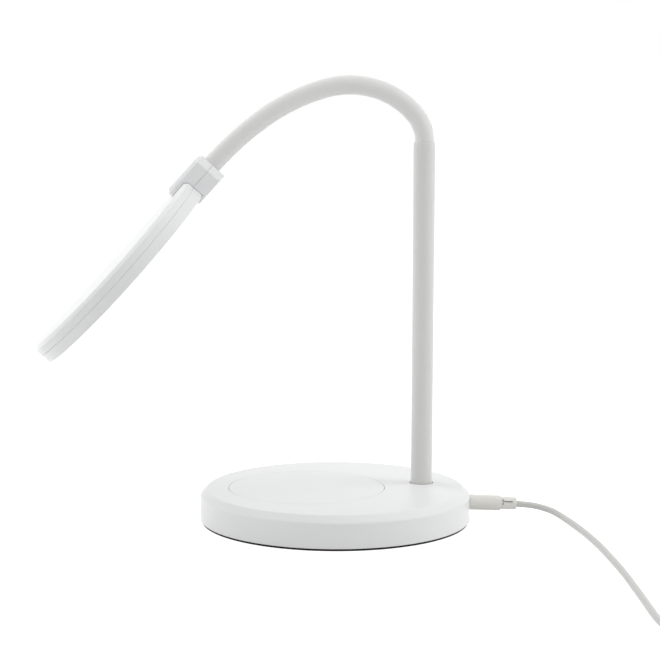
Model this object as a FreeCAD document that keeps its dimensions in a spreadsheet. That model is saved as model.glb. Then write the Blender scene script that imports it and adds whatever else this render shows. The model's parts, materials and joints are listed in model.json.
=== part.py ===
import FreeCAD, Part
import math
import os

from FreeCAD import Placement, Rotation, Vector
from Sketcher import Constraint

# A desk lamp on a thin round base with a flush charging plate, a flexible neck and a flat round head.
# Millimetres, +Z up. The origin is the centre of the base's underside, and +X points from the charging
# plate to the power socket. The neck bends in the plane y = post_y, towards -X.

# ---------------------------------------------------------------- driving dimensions
SIZES = {
    # base casing
    "base_radius": 75.0,
    "base_height": 18.5,
    "base_bevel": 3.7,
    "shell_wall": 2.2,
    "shell_roof": 3.0,
    "shell_inner_bevel": 2.3,
    "pad_thickness": 1.2,
    "pad_inset": 0.8,
    "cover_thickness": 2.0,
    "cover_clearance": 0.4,
    "ballast_thickness": 4.0,
    "ballast_clearance": 3.8,
    "ballast_lift": 0.2,
    "boss_inset": 13.0,
    "boss_radius": 3.5,
    "boss_clearance": 0.8,
    "rib_outset": 14.5,
    "rib_step": 8.5,
    "rib_width": 1.5,
    "rib_length": 16.0,
    "rib_rise": 0.3,
    # charging plate and what hangs under it
    "plate_x": -15.9,
    "plate_radius": 43.25,
    "plate_thickness": 1.6,
    "plate_gap": 0.35,
    "plate_ledge": 4.1,
    "coil_radius": 21.5,
    "coil_eye": 10.0,
    "coil_thickness": 1.0,
    "ferrite_radius": 25.0,
    "ferrite_thickness": 1.0,
    "tray_floor": 1.5,
    "tray_gap": 0.3,
    # boards
    "board_length": 60.0,
    "board_width": 26.0,
    "board_thickness": 1.4,
    "board_y": 42.0,
    "board_margin": 3.5,
    "stud_height": 2.0,
    "stud_radius": 2.4,
    "stud_pin": 1.3,
    "stud_pin_end": 0.8,
    "chip_height": 1.6,
    "spring_radius": 3.0,
    "spring_fold": 0.5,
    "spring_wire": 0.6,
    "spring_gap": 0.02,
    # screws
    "screw_radius": 1.5,
    "screw_cap": 2.9,
    "screw_cap_height": 1.1,
    "screw_reach": 7.0,
    "screw_fit": 0.05,
    "screw_gap": 0.2,
    # post
    "post_x": 49.5,
    "post_y": 9.0,
    "post_radius": 6.0,
    "post_wall": 1.2,
    "post_top": 210.2,
    "post_shoulder": 0.7,
    "post_shoulder_height": 2.5,
    "post_hole_gap": 0.6,
    "foot_flange": 3.5,
    "foot_thickness": 3.0,
    "foot_spigot": 12.0,
    "foot_bore_gap": 1.0,
    "foot_slot_width": 2.4,
    "foot_slot_roof": 0.6,
    "foot_screw_outset": 1.0,
    "foot_screw_radius": 1.2,
    "foot_screw_cap": 2.1,
    "foot_screw_short": 0.4,
    "cable_lift": 0.3,
    # neck
    "neck_start": 210.5,
    "neck_radius": 5.25,
    "sleeve_wall": 1.6,
    "core_gap": 0.1,
    "cable_radius": 1.6,
    "cable_room": 0.85,
    "bend_gap": 1.1,
    "cable_gap": 0.45,
    "ferrule_length": 14.0,
    "ferrule_fit": 0.05,
    "ferrule_bore": 2.3,
    # head
    "head_radius": 63.0,
    "head_half": 6.05,
    "head_bend": 1225.0,
    "head_bevel": 2.0,
    "head_round": 0.8,
    "head_wall": 2.2,
    "head_skin": 1.8,
    "window_inset": 13.0,
    "window_flare": 3.0,
    "window_taper": 1.0,
    "window_depth": 6.0,
    "window_reach": 1.4,
    "diffuser_thickness": 2.0,
    "diffuser_gap": 0.4,
    "layer_gap": 0.15,
    "guide_gap": 0.4,
    "guide_thickness": 2.5,
    "reflector_inset": 0.3,
    "reflector_thickness": 0.2,
    "strip_inset": 8.5,
    "strip_thickness": 0.4,
    "led_depth": 1.3,
    "led_width": 2.8,
    "led_height": 1.4,
    "led_gap": 0.2,
    "heat_plate_gap": 1.2,
    "heat_plate_thickness": 1.5,
    "heat_notch_depth": 9.6,
    "heat_notch_width": 7.0,
    "head_screw_inset": 5.8,
    "head_screw_radius": 1.1,
    "head_screw_cap": 1.9,
    "head_screw_cap_height": 0.88,
    "head_screw_sink": 0.133,
    "head_screw_short": 0.3,
    "head_boss_radius": 2.5,
    # bracket block between neck and head
    "bracket_reach": 14.5,
    "bracket_width": 25.0,
    "bracket_bottom": -6.3,
    "bracket_top": 11.4,
    "bracket_seam": 2.3,
    "bracket_bevel": 4.0,
    "bracket_edge": 1.9,
    "bracket_gap": 0.15,
    "clamp_screw_inset": 7.5,
    "clamp_screw_roof": 3.5,
    "clamp_bore_roof": 3.0,
    "clamp_seat_depth": 1.2,
    "clamp_cap_height": 1.0,
    "clamp_cap_lift": 0.15,
    "tongue_lap": 13.0,
    "tongue_round": 5.0,
    "tongue_screw_inset": 5.5,
    "tongue_screw_roof": 2.6,
    "tongue_bore_roof": 2.2,
    "tongue_cap_height": 0.8,
    "tongue_screw_drop": 0.15,
    "lip_lap": 6.0,
    "lip_gap": 0.15,
    "neck_axis_height": 2.6,
    "tip_length": 13.0,
    "tip_room": 2.0,
    "tip_radius": 4.4,
    "lead_hole": 2.0,
    "wire_radius": 0.7,
    "wire_gap": 0.25,
    # power lead
    "socket_height": 8.4,
    "socket_length": 9.4,
    "socket_width": 7.0,
    "socket_gap": 0.4,
    "socket_hole_inset": 1.3,
    "socket_board_inset": 15.0,
    "socket_board_length": 10.8,
    "socket_board_width": 17.0,
    "socket_notch_gap": 0.5,
    "socket_notch_side": 1.5,
    "barrel_radius": 1.75,
    "barrel_length": 9.5,
    "barrel_fit": 0.05,
    "barrel_floor": 2.0,
    "plug_radius": 3.8,
    "plug_gap": 0.3,
    "plug_length": 17.8,
    "plug_edge": 0.6,
    "plug_taper": 1.6,
    "plug_step": 0.5,
    "plug_nose": 1.1,
    "relief_length": 9.0,
    "relief_radius": 2.9,
    "relief_tip": 2.35,
    "relief_slot_start": 1.4,
    "relief_slot_pitch": 2.5,
    "relief_slot_width": 0.9,
    "relief_web": 1.15,
    "cord_radius": 1.75,
    "winding_radius": 24.75,
    "winding_eye": 14.25,
    "winding_height": 10.5,
    "winding_lift": 1.0,
    "winding_edge": 1.4,
    "tie_thickness": 0.7,
    "tie_width": 8.0,
    "tie_gap": 0.1,
    "usb_length": 27.0,
    "usb_width": 14.6,
    "usb_height": 7.6,
    "usb_edge": 1.4,
    "usb_neck_edge": 0.7,
    "usb_shell_length": 14.0,
    "usb_shell_width": 12.0,
    "usb_shell_height": 4.5,
    "usb_shell_wall": 0.4,
    "usb_shell_floor": 1.0,
    "usb_axis_height": 3.9,
}

# Sizes that follow from the ones above.
FOLLOWING = {
    "boss_ring": "base_radius - boss_inset",
    "foot_radius": "post_radius + foot_flange",
    "foot_screw_ring": "post_radius + foot_screw_outset",
    "core_radius": "neck_radius - sleeve_wall - core_gap",
    "window_radius": "head_radius - window_inset",
    "strip_radius": "head_radius - strip_inset",
    "led_reach": "strip_radius - strip_thickness - led_depth - led_gap",
    "guide_radius": "led_reach - guide_gap",
    "reflector_radius": "strip_radius - reflector_inset",
    "heat_plate_radius": "head_radius - head_wall - heat_plate_gap",
    "head_screw_ring": "head_radius - head_screw_inset",
    "bracket_end": "head_radius + bracket_reach",
    "clamp_screw_x": "bracket_end - clamp_screw_inset",
    "tongue_start": "head_radius - tongue_lap",
    "tongue_screw_x": "tongue_start + tongue_screw_inset",
    "lip_start": "head_radius - lip_lap",
}

# The neck is a chain of arcs from the post to the bracket: length of each, and how far it turns (degrees).
NECK_ARCS = [(15.5, 40.0), (23.0, 29.5), (32.0, 36.5), (38.0, 20.0), (36.4, 11.5)]
# The mouth of the post is rounded over corners at these shares of the rounding's depth and height.
MOUTH_CORNERS = ((0.25, 0.45), (0.6, 0.14))
BOSS_ANGLES = (45.0, 135.0, 225.0, 315.0)
FOOT_SCREW_ANGLES = (90.0, 210.0, 330.0)
HEAD_SCREW_ANGLES = (30.0, 90.0, 150.0, 210.0, 270.0, 330.0)
LED_COUNT = 36
BRACKET_SCREW_Y = 8.2
TONGUE_SCREW_Y = 6.5
SPRING_X = 20.0
SPRING_Y = -47.0

# Chips on each board: middle x and y from the board's centre, length and width.
CHARGER_CHIPS = [
    (-17.0, 2.0, 9.0, 9.0),
    (0.0, -3.0, 7.0, 7.0),
    (14.0, 4.0, 12.0, 6.0),
    (16.0, -6.0, 5.0, 4.0),
]
CONTROL_CHIPS = [(-18.0, -2.0, 6.0, 6.0), (-4.0, 4.0, 8.0, 5.0), (8.0, -6.0, 4.0, 4.0)]

# The lead's route: out of the strain relief, down to the table and away to the right and front.
CORD_ROUTE = [
    (102.1, 0.0, 8.4),
    (108.6, -0.5, 7.7),
    (115.4, -2.8, 5.9),
    (121.6, -8.3, 3.7),
    (126.3, -17.0, 2.4),
    (129.6, -30.0, 1.85),
    (132.0, -50.0, 1.8),
    (133.6, -75.0, 1.85),
    (134.2, -103.0, 1.8),
    (133.7, -132.0, 1.85),
    (132.7, -162.0, 1.8),
    (131.4, -191.0, 1.85),
    (131.2, -218.0, 1.8),
    (133.4, -240.0, 2.0),
    (138.0, -259.5, 2.7),
]
WINDING_X = 160.4
WINDING_Y = -254.3
TAIL_ROUTE = [
    (183.3, -256.5, 3.2),
    (183.6, -248.5, 3.4),
    (184.6, -240.5, 3.8),
    (184.9, -233.0, 3.9),
]
TIE_ANGLE = 100.0

# ---------------------------------------------------------------- document helpers
doc = FreeCAD.newDocument("DeskLamp")
sheet = doc.addObject("Spreadsheet::Sheet", "Sizes")
for row, (alias, number) in enumerate(SIZES.items(), start=1):
    sheet.set(f"A{row}", alias)
    sheet.set(f"B{row}", str(number))
    sheet.setAlias(f"B{row}", alias)
doc.recompute()

X_AXIS = Vector(1, 0, 0)
Y_AXIS = Vector(0, 1, 0)
Z_AXIS = Vector(0, 0, 1)
ALONG = {"x": Rotation(Y_AXIS, 90), "y": Rotation(X_AXIS, -90), "z": Rotation()}
nodes = {}


def value(text):
    """The number that an expression over the sheet gives."""
    return float(sheet.evalExpression(spelled(text)))


def spelled(text):
    """An expression as text, with every size named through the sheet and every following size written out."""
    words = []
    word = ""
    for letter in str(text) + " ":
        if letter.isalnum() or letter == "_":
            word += letter
            continue
        if word in FOLLOWING:
            word = "(" + spelled(FOLLOWING[word]) + ")"
        elif word in SIZES:
            word = "Sizes." + word
        words.append(word)
        words.append(letter)
        word = ""
    return "".join(words).strip()


def bind(item, **sizes):
    """Bind properties of an object to expressions over the sheet."""
    for name, text in sizes.items():
        item.setExpression(name, spelled(text))
    return item


def at(item, x="0", y="0", z="0", along="z"):
    """Bind an object's place, and point its own Z along an axis."""
    item.Placement = Placement(Vector(), ALONG[along])
    for letter, text in zip("xyz", (x, y, z)):
        item.setExpression("Placement.Base." + letter, spelled(text))
    return item


def box(name, length, width, height, x="0", y="0", z="0"):
    """A box from its low corner."""
    item = bind(doc.addObject("Part::Box", name), Length=length, Width=width, Height=height)
    return at(item, x, y, z)


def rod(name, radius, length, x="0", y="0", z="0", along="z"):
    """A cylinder from the middle of its first end."""
    item = bind(doc.addObject("Part::Cylinder", name), Radius=radius, Height=length)
    return at(item, x, y, z, along)


def cone(name, first, second, length, x="0", y="0", z="0", along="z"):
    """A cone from its first end's radius to its second end's."""
    item = bind(doc.addObject("Part::Cone", name), Radius1=first, Radius2=second, Height=length)
    return at(item, x, y, z, along)


def joined(name, *parts):
    """One solid of several that overlap or touch."""
    item = doc.addObject("Part::MultiFuse", name)
    item.Shapes = list(parts)
    return item


def group(name, parts):
    """Several separate solids kept together."""
    item = doc.addObject("Part::Compound", name)
    item.Links = list(parts)
    return item


def without(name, base, *tools):
    """A solid less others."""
    item = doc.addObject("Part::Cut", name)
    item.Base = base
    item.Tool = tools[0] if len(tools) == 1 else group(name + "_cuts", tools)
    return item


def within(name, base, tool):
    """What two solids share."""
    item = doc.addObject("Part::Common", name)
    item.Base = base
    item.Tool = tool
    return item


def edges_where(item, test):
    """Numbers of the edges of an object whose middle point passes a test."""
    doc.recompute()
    found = []
    for number, edge in enumerate(item.Shape.Edges, start=1):
        middle = edge.valueAt((edge.FirstParameter + edge.LastParameter) / 2)
        if test(middle, edge):
            found.append(number)
    return found


def eased(name, base, kind, size, test):
    """A chamfer or fillet of one size on chosen edges."""
    item = doc.addObject("Part::" + kind, name)
    item.Base = base
    reach = value(size)
    item.Edges = [(number, reach, reach) for number in edges_where(base, test)]
    return item


def keep(node, item, place=None):
    """Name an object as a sub-part and put it in its place."""
    item.Label = node
    if place is not None:
        item.Placement = place
    nodes[node] = item
    return item


def origin_plane(body, role):
    """One of a body's own origin planes."""
    return next(plane for plane in body.Origin.OriginFeatures if plane.Role == role)


def new_sketch(body, name, role, lift="0"):
    """A sketch on one of the body's own planes, lifted along the plane's normal."""
    sketch = body.newObject("Sketcher::SketchObject", name)
    sketch.AttachmentSupport = [(origin_plane(body, role), "")]
    sketch.MapMode = "FlatFace"
    sketch.setExpression("AttachmentOffset.Base.z", spelled(lift))
    return sketch


def pin_point(sketch, curve, point, x, y):
    """Tie a sketch point to its two coordinates."""
    for kind, axis, text in (("DistanceX", -2, x), ("DistanceY", -1, y)):
        number = value(text)
        if abs(number) < 1e-9:
            sketch.addConstraint(Constraint("PointOnObject", curve, point, axis))
            continue
        index = sketch.addConstraint(Constraint(kind, -1, 1, curve, point, number))
        sketch.setExpression(f"Constraints[{index}]", spelled(text))


def draw_outline(sketch, corners):
    """A closed outline of straight lines through corners given as expressions."""
    points = [Vector(value(x), value(y), 0) for x, y in corners]
    first = sketch.GeometryCount
    for start, end in zip(points, points[1:] + points[:1]):
        sketch.addGeometry(Part.LineSegment(start, end), False)
    for step, (x, y) in enumerate(corners):
        curve = first + step
        follower = first + (step + 1) % len(corners)
        sketch.addConstraint(Constraint("Coincident", curve, 2, follower, 1))
        pin_point(sketch, curve, 1, x, y)


def draw_circle(sketch, x, y, radius):
    """A circle from expressions."""
    circle = Part.Circle(Vector(value(x), value(y), 0), Z_AXIS, value(radius))
    curve = sketch.addGeometry(circle, False)
    index = sketch.addConstraint(Constraint("Radius", curve, value(radius)))
    sketch.setExpression(f"Constraints[{index}]", spelled(radius))
    pin_point(sketch, curve, 3, x, y)


def turned(name, outline):
    """A body turned about Z from an outline of (radius, height) corners."""
    body = doc.addObject("PartDesign::Body", name)
    sketch = new_sketch(body, name + "_profile", "XZ_Plane")
    draw_outline(sketch, outline)
    feature = body.newObject("PartDesign::Revolution", name + "_turn")
    feature.Profile = sketch
    feature.ReferenceAxis = (sketch, ["V_Axis"])
    feature.Angle = 360
    doc.recompute()
    return body


def padded(name, circles=(), outlines=(), lift="0", height="1", body=None):
    """Circles and outlines drawn flat and raised by a height, in a new body or on one."""
    body = body or doc.addObject("PartDesign::Body", name)
    sketch = new_sketch(body, name + "_plan", "XY_Plane", lift)
    for corners in outlines:
        draw_outline(sketch, corners)
    for circle in circles:
        draw_circle(sketch, *circle)
    feature = body.newObject("PartDesign::Pad", name + "_pad")
    feature.Profile = sketch
    feature.setExpression("Length", spelled(height))
    doc.recompute()
    return body


def pocketed(body, name, circles=(), outlines=(), top="0", depth="1"):
    """Cut circles and outlines into a body, from a height downwards."""
    before = body.Shape.Volume
    sketch = new_sketch(body, name + "_plan", "XY_Plane", top)
    for corners in outlines:
        draw_outline(sketch, corners)
    for circle in circles:
        draw_circle(sketch, *circle)
    feature = body.newObject("PartDesign::Pocket", name + "_cut")
    feature.Profile = sketch
    feature.setExpression("Length", spelled(depth))
    doc.recompute()
    if body.Shape.Volume > before - 0.01:
        raise RuntimeError(name + " cuts nothing")
    return body


def rectangle(x_low, y_low, x_high, y_high):
    """Corners of a rectangle given as expressions."""
    return [(x_low, y_low), (x_high, y_low), (x_high, y_high), (x_low, y_high)]


def ring_place(ring, angle, x="0", y="0"):
    """Expressions for a point on a ring about (x, y)."""
    radians = math.radians(angle)
    return f"{x} + {ring} * {math.cos(radians):.6f}", f"{y} + {ring} * {math.sin(radians):.6f}"


# ---------------------------------------------------------------- levels that several pieces share
COVER_TOP = "(pad_thickness + cover_thickness)"
BALLAST_BOTTOM = "(pad_thickness + cover_thickness + ballast_lift)"
BALLAST_TOP = "(pad_thickness + cover_thickness + ballast_lift + ballast_thickness)"
ROOF_BOTTOM = "(base_height - shell_roof)"
INNER_RADIUS = "(base_radius - shell_wall)"
SEAT_RADIUS = "(plate_radius + plate_gap)"
SEAT_HOLE = "(plate_radius + plate_gap - plate_ledge)"
PLATE_BOTTOM = "(base_height - plate_thickness)"
BOARD_BOTTOM = "(pad_thickness + cover_thickness + ballast_lift + ballast_thickness + stud_height)"
BOARD_TOP = "(" + BOARD_BOTTOM + " + board_thickness)"
BOSS_BORE = "(screw_radius + screw_fit)"
POST_BORE = "(post_radius - post_wall)"
FOOT_TOP = "(" + BALLAST_TOP + " + foot_thickness)"


# ---------------------------------------------------------------- base
def build_base_shell():
    """Top cover: roof, side wall, plate seat, post hole, socket hole and four screw bosses."""
    shell = turned("base_shell", [
        ("0", ROOF_BOTTOM),
        (INNER_RADIUS + " - shell_inner_bevel", ROOF_BOTTOM),
        (INNER_RADIUS, ROOF_BOTTOM + " - shell_inner_bevel"),
        (INNER_RADIUS, "pad_thickness"),
        ("base_radius", "pad_thickness"),
        ("base_radius", "base_height - base_bevel"),
        ("base_radius - base_bevel", "base_height"),
        ("0", "base_height"),
    ])
    rings = [ring_place("boss_ring", angle) for angle in BOSS_ANGLES]
    padded("shell_bosses", [(x, y, "boss_radius") for x, y in rings], lift=COVER_TOP,
           height=ROOF_BOTTOM + " - " + COVER_TOP + " + shell_roof / 2", body=shell)
    pocketed(shell, "boss_bores", [(x, y, BOSS_BORE) for x, y in rings],
             top=COVER_TOP + " + screw_reach + screw_gap", depth="screw_reach + screw_gap")
    pocketed(shell, "plate_seat", [("plate_x", "0", SEAT_RADIUS)], top="base_height", depth="plate_thickness")
    pocketed(shell, "plate_opening", [("plate_x", "0", SEAT_HOLE)], top="base_height", depth="shell_roof + 1")
    pocketed(shell, "post_opening", [("post_x", "post_y", "post_radius + post_hole_gap")],
             top="base_height", depth="shell_roof + 1")
    hole = rod("socket_hole", "plug_radius - socket_hole_inset", "shell_wall * 2 + 2",
               "base_radius - shell_wall - 2", "0", "socket_height", along="x")
    keep("base_shell", without("base_shell_bored", shell, hole))


def build_charging_plate():
    """Flush plate, with the winding, its ferrite sheet and the tray that holds them against it."""
    plate = padded("charge_plate", [("plate_x", "0", "plate_radius")], lift=PLATE_BOTTOM, height="plate_thickness")
    keep("charge_plate", plate)
    coil_bottom = "(" + PLATE_BOTTOM + " - coil_thickness)"
    winding = padded("charge_coil", [("plate_x", "0", "coil_radius"), ("plate_x", "0", "coil_eye")],
                     lift=coil_bottom, height="coil_thickness")
    keep("charge_coil", winding)
    ferrite_bottom = "(" + coil_bottom + " - ferrite_thickness)"
    ferrite = padded("ferrite_sheet", [("plate_x", "0", "ferrite_radius")], lift=ferrite_bottom,
                     height="ferrite_thickness")
    keep("ferrite_sheet", ferrite)
    tray = padded("coil_tray", [("plate_x", "0", SEAT_HOLE + " - tray_gap")],
                  lift=ferrite_bottom + " - tray_floor", height="coil_thickness + ferrite_thickness + tray_floor")
    pocketed(tray, "tray_well", [("plate_x", "0", "ferrite_radius + tray_gap")], top=PLATE_BOTTOM,
             depth="coil_thickness + ferrite_thickness")
    keep("coil_tray", tray)


def stud_places(side):
    """Corners where a board is held, as expressions; side is 1 for the back board and -1 for the front."""
    half_x = "(board_length / 2 - board_margin)"
    half_y = "(board_width / 2 - board_margin)"
    return [(f"{i} * {half_x}", f"{side} * board_y + {j} * {half_y}") for i in (-1, 1) for j in (-1, 1)]


def build_board(node, side, chips):
    """A board on its studs, with its chips."""
    low_y = f"{side} * board_y - board_width / 2"
    high_y = f"{side} * board_y + board_width / 2"
    board = padded(node + "_sheet", [(x, y, "stud_pin + screw_fit") for x, y in stud_places(side)],
                   [rectangle("-board_length / 2", low_y, "board_length / 2", high_y)],
                   lift=BOARD_BOTTOM, height="board_thickness")
    parts = [board]
    for number, (x, y, length, width) in enumerate(chips, start=1):
        parts.append(box(f"{node}_chip_{number}", length, width, "chip_height",
                         f"{x - length / 2}", f"{side} * board_y + {y - width / 2}", BOARD_TOP))
    keep(node, group(node, parts))


def build_boards():
    """Charger board behind, control board in front, their studs and the touch spring."""
    build_board("charger_board", 1, CHARGER_CHIPS)
    build_board("control_board", -1, CONTROL_CHIPS)
    studs = []
    for number, (x, y) in enumerate(stud_places(1) + stud_places(-1), start=1):
        collar = rod(f"stud_collar_{number}", "stud_radius", "stud_height", x, y, BALLAST_TOP)
        pin = rod(f"stud_pin_{number}", "stud_pin", "stud_height + board_thickness + stud_pin_end", x, y,
                  BALLAST_TOP)
        studs.append(joined(f"stud_{number}", collar, pin))
    keep("board_studs", group("board_studs", studs))


def build_touch_spring():
    """Contact spring between the control board and the roof, its turns drawn as closed folds."""
    folds = 8
    room = "(" + ROOF_BOTTOM + " - " + BOARD_TOP + " - 2 * spring_gap)"
    outside = []
    inside = []
    for fold in range(folds + 1):
        level = f"{BOARD_TOP} + spring_gap + {room} * {fold} / {folds}"
        inset = "0" if fold % 2 else "spring_fold"
        outside.append(("spring_radius - " + inset, level))
        inside.append(("spring_radius - spring_wire - " + inset, level))
    spring = turned("touch_spring", outside + inside[::-1])
    keep("touch_spring", spring, Placement(Vector(SPRING_X, SPRING_Y, 0), Rotation()))


def build_ballast_and_cover():
    """Steel disc that keeps the lamp standing, the cover under it, and the pad under that."""
    screws = [ring_place("boss_ring", angle) for angle in BOSS_ANGLES]
    foot_screws = [ring_place("foot_screw_ring", angle, "post_x", "post_y") for angle in FOOT_SCREW_ANGLES]
    holes = [(x, y, "boss_radius + boss_clearance") for x, y in screws]
    holes += [(x, y, "foot_screw_radius + screw_gap") for x, y in foot_screws]
    ballast = padded("ballast_plate", [("0", "0", INNER_RADIUS + " - ballast_clearance")] + holes,
                     lift=BALLAST_BOTTOM, height="ballast_thickness")
    pocketed(ballast, "foot_counterbores", [(x, y, "foot_screw_cap + screw_gap") for x, y in foot_screws],
             top=BALLAST_BOTTOM + " + screw_cap_height + screw_gap", depth="screw_cap_height + screw_gap")
    half = "(socket_board_width / 2 + socket_notch_side)"
    notch = rectangle("base_radius - socket_board_inset - socket_notch_gap", f"-{half}", "base_radius", half)
    pocketed(ballast, "socket_notch", outlines=[notch], top=BALLAST_TOP, depth="ballast_thickness")
    keep("ballast_plate", ballast)
    cover = padded("bottom_cover", [("0", "0", INNER_RADIUS + " - cover_clearance")]
                   + [(x, y, "screw_radius + screw_gap") for x, y in screws],
                   lift="pad_thickness", height="cover_thickness")
    pocketed(cover, "cover_counterbores", [(x, y, "screw_cap + screw_gap") for x, y in screws],
             top="pad_thickness + screw_cap_height + screw_fit", depth="screw_cap_height + screw_fit")
    ribs = []
    for low_x in ("base_radius - rib_outset", "base_radius - rib_outset + rib_step"):
        ribs.append(rectangle(low_x, "-rib_length / 2", low_x + " + rib_width", "rib_length / 2"))
    padded("socket_ribs", outlines=ribs, lift=COVER_TOP, height="ballast_lift + rib_rise", body=cover)
    keep("bottom_cover", cover)
    pad = padded("base_pad", [("0", "0", "base_radius - pad_inset")], height="pad_thickness")
    keep("base_pad", pad)
    fasteners = []
    for number, (x, y) in enumerate(screws, start=1):
        cap = rod(f"base_screw_cap_{number}", "screw_cap", "screw_cap_height", x, y, "pad_thickness + screw_fit")
        shank = rod(f"base_screw_shank_{number}", "screw_radius",
                    "cover_thickness + screw_reach - screw_fit", x, y, "pad_thickness + screw_fit")
        fasteners.append(joined(f"base_screw_{number}", cap, shank))
    keep("base_screws", group("base_screws", fasteners))


def build_socket():
    """Round power socket on its own small board."""
    rib_top = "(" + COVER_TOP + " + ballast_lift + rib_rise)"
    thickness = "(socket_height - socket_width / 2 - " + rib_top + ")"
    board = box("socket_board", "socket_board_length", "socket_board_width", thickness,
                "base_radius - socket_board_inset", "-socket_board_width / 2", rib_top)
    keep("socket_board", board)
    low_x = "(base_radius - shell_wall - socket_gap - socket_length)"
    body = box("socket_block", "socket_length", "socket_width", "socket_width", low_x, "-socket_width / 2",
               "socket_height - socket_width / 2")
    bore = rod("socket_bore", "barrel_radius + barrel_fit", "socket_length + 1", low_x + " + 1", "0",
               "socket_height", along="x")
    keep("power_socket", without("power_socket", body, bore))


# ---------------------------------------------------------------- tubes that follow a route
def rounded_route(points):
    """A wire of straight runs joined by tangent arcs, and the radii of the arcs."""
    places = [Vector(*point) for point in points]
    edges = []
    radii = []
    start = places[0]
    for before, corner, after in zip(places, places[1:], places[2:]):
        inward = (corner - before).normalize()
        outward = (after - corner).normalize()
        half_turn = inward.getAngle(outward) / 2
        reach = 0.45 * min((corner - before).Length, (after - corner).Length)
        radii.append(reach / math.tan(half_turn))
        first = corner - inward * reach
        last = corner + outward * reach
        middle_way = (outward - inward).normalize()
        centre_distance = radii[-1] / math.cos(half_turn)
        middle = corner + middle_way * (centre_distance - radii[-1])
        edges.append(Part.LineSegment(start, first).toShape())
        edges.append(Part.Arc(first, middle, last).toShape())
        start = last
    edges.append(Part.LineSegment(start, places[-1]).toShape())
    return Part.Wire(edges), radii


def swept(route, radius):
    """A round tube along a route, checked against its section times its length."""
    wire, radii = rounded_route(route)
    places = [Vector(*point) for point in route]
    section = Part.Wire(Part.makeCircle(radius, places[0], places[1] - places[0]))
    tube = wire.makePipeShell([section], True, False)
    expected = math.pi * radius ** 2 * wire.Length
    if abs(tube.Volume / expected - 1) > 0.01:
        raise RuntimeError(f"a tube's volume is {tube.Volume:.1f}, not {expected:.1f}")
    return tube, wire.Length, radii


def build_base_leads():
    """Wires inside the base: between the boards, to the socket and to the post."""
    low = value(BALLAST_TOP) + 1.0
    level = value(BOARD_BOTTOM) + 0.5
    routes = [
        [(62.5, -2.0, level), (55.0, -7.0, low), (46.0, -18.0, low), (37.5, -28.0, low), (30.6, -33.0, level)],
        [(42.0, 9.0, low), (38.0, 9.0, low), (34.5, 3.5, low), (33.2, -7.0, low), (33.0, -18.0, low),
         (30.6, -28.5, level)],
        [(-30.6, 33.0, level), (-35.0, 24.0, low), (-36.5, 8.0, low), (-36.0, -10.0, low), (-34.5, -24.0, low),
         (-30.6, -33.0, level)],
    ]
    wires = [swept(route, value("wire_radius"))[0] for route in routes]
    leads = doc.addObject("Part::Feature", "base_leads")
    leads.Shape = Part.makeCompound(wires)
    keep("base_leads", leads)


# ---------------------------------------------------------------- post
def build_post():
    """Tube with a rounded-in mouth, its foot, the foot's screws and the cable up the middle."""
    place = Placement(Vector(value("post_x"), value("post_y"), 0), Rotation())
    tube = turned("post", [
        (POST_BORE, FOOT_TOP),
        ("post_radius", FOOT_TOP),
        ("post_radius", "post_top - post_shoulder_height"),
        *((f"post_radius - post_shoulder * {depth}", f"post_top - post_shoulder_height * {height}")
          for depth, height in MOUTH_CORNERS),
        ("post_radius - post_shoulder", "post_top"),
        (POST_BORE, "post_top"),
    ])
    keep("post", tube, place)
    foot = turned("post_foot", [
        ("cable_radius + foot_bore_gap", BALLAST_TOP),
        ("foot_radius", BALLAST_TOP),
        ("foot_radius", FOOT_TOP),
        (POST_BORE, FOOT_TOP),
        (POST_BORE, FOOT_TOP + " + foot_spigot"),
        ("cable_radius + foot_bore_gap", FOOT_TOP + " + foot_spigot"),
    ])
    spots = [ring_place("foot_screw_ring", angle) for angle in FOOT_SCREW_ANGLES]
    pocketed(foot, "foot_screw_bores", [(x, y, "foot_screw_radius + screw_fit") for x, y in spots],
             top=FOOT_TOP, depth="foot_thickness")
    slot = rectangle("-foot_radius - 1", "-foot_slot_width / 2", "0", "foot_slot_width / 2")
    pocketed(foot, "foot_wire_slot", outlines=[slot], top=FOOT_TOP + " - foot_slot_roof",
             depth="foot_thickness - foot_slot_roof")
    keep("post_foot", foot, place)
    fasteners = []
    for number, (x, y) in enumerate(spots, start=1):
        seat = BALLAST_BOTTOM + " + screw_fit"
        cap = rod(f"foot_screw_cap_{number}", "foot_screw_cap", "screw_cap_height", x, y, seat)
        shank = rod(f"foot_screw_shank_{number}", "foot_screw_radius",
                    "ballast_thickness + foot_thickness - foot_screw_short", x, y, seat)
        fasteners.append(joined(f"foot_screw_{number}", cap, shank))
    keep("foot_screws", group("foot_screws", fasteners), place)
    bottom = "(" + BALLAST_TOP + " + cable_lift)"
    cable = rod("post_cable", "cable_radius", "neck_start - cable_gap - " + bottom, "post_x", "post_y",
                bottom)
    keep("post_cable", cable)


# ---------------------------------------------------------------- neck
def neck_chain():
    """Bend points of the neck, with the direction there, in degrees from straight up."""
    point = Vector(value("post_x"), value("post_y"), value("neck_start"))
    angle = 0.0
    chain = [(point, angle)]
    for length, turn in NECK_ARCS:
        radius = length / math.radians(turn)
        centre = point + radius * inward(angle)
        angle += turn
        point = centre - radius * inward(angle)
        chain.append((point, angle))
    return chain


def inward(angle):
    """Unit vector from the neck towards the inside of its bend."""
    radians = math.radians(angle)
    return Vector(-math.cos(radians), 0, -math.sin(radians))


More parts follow.
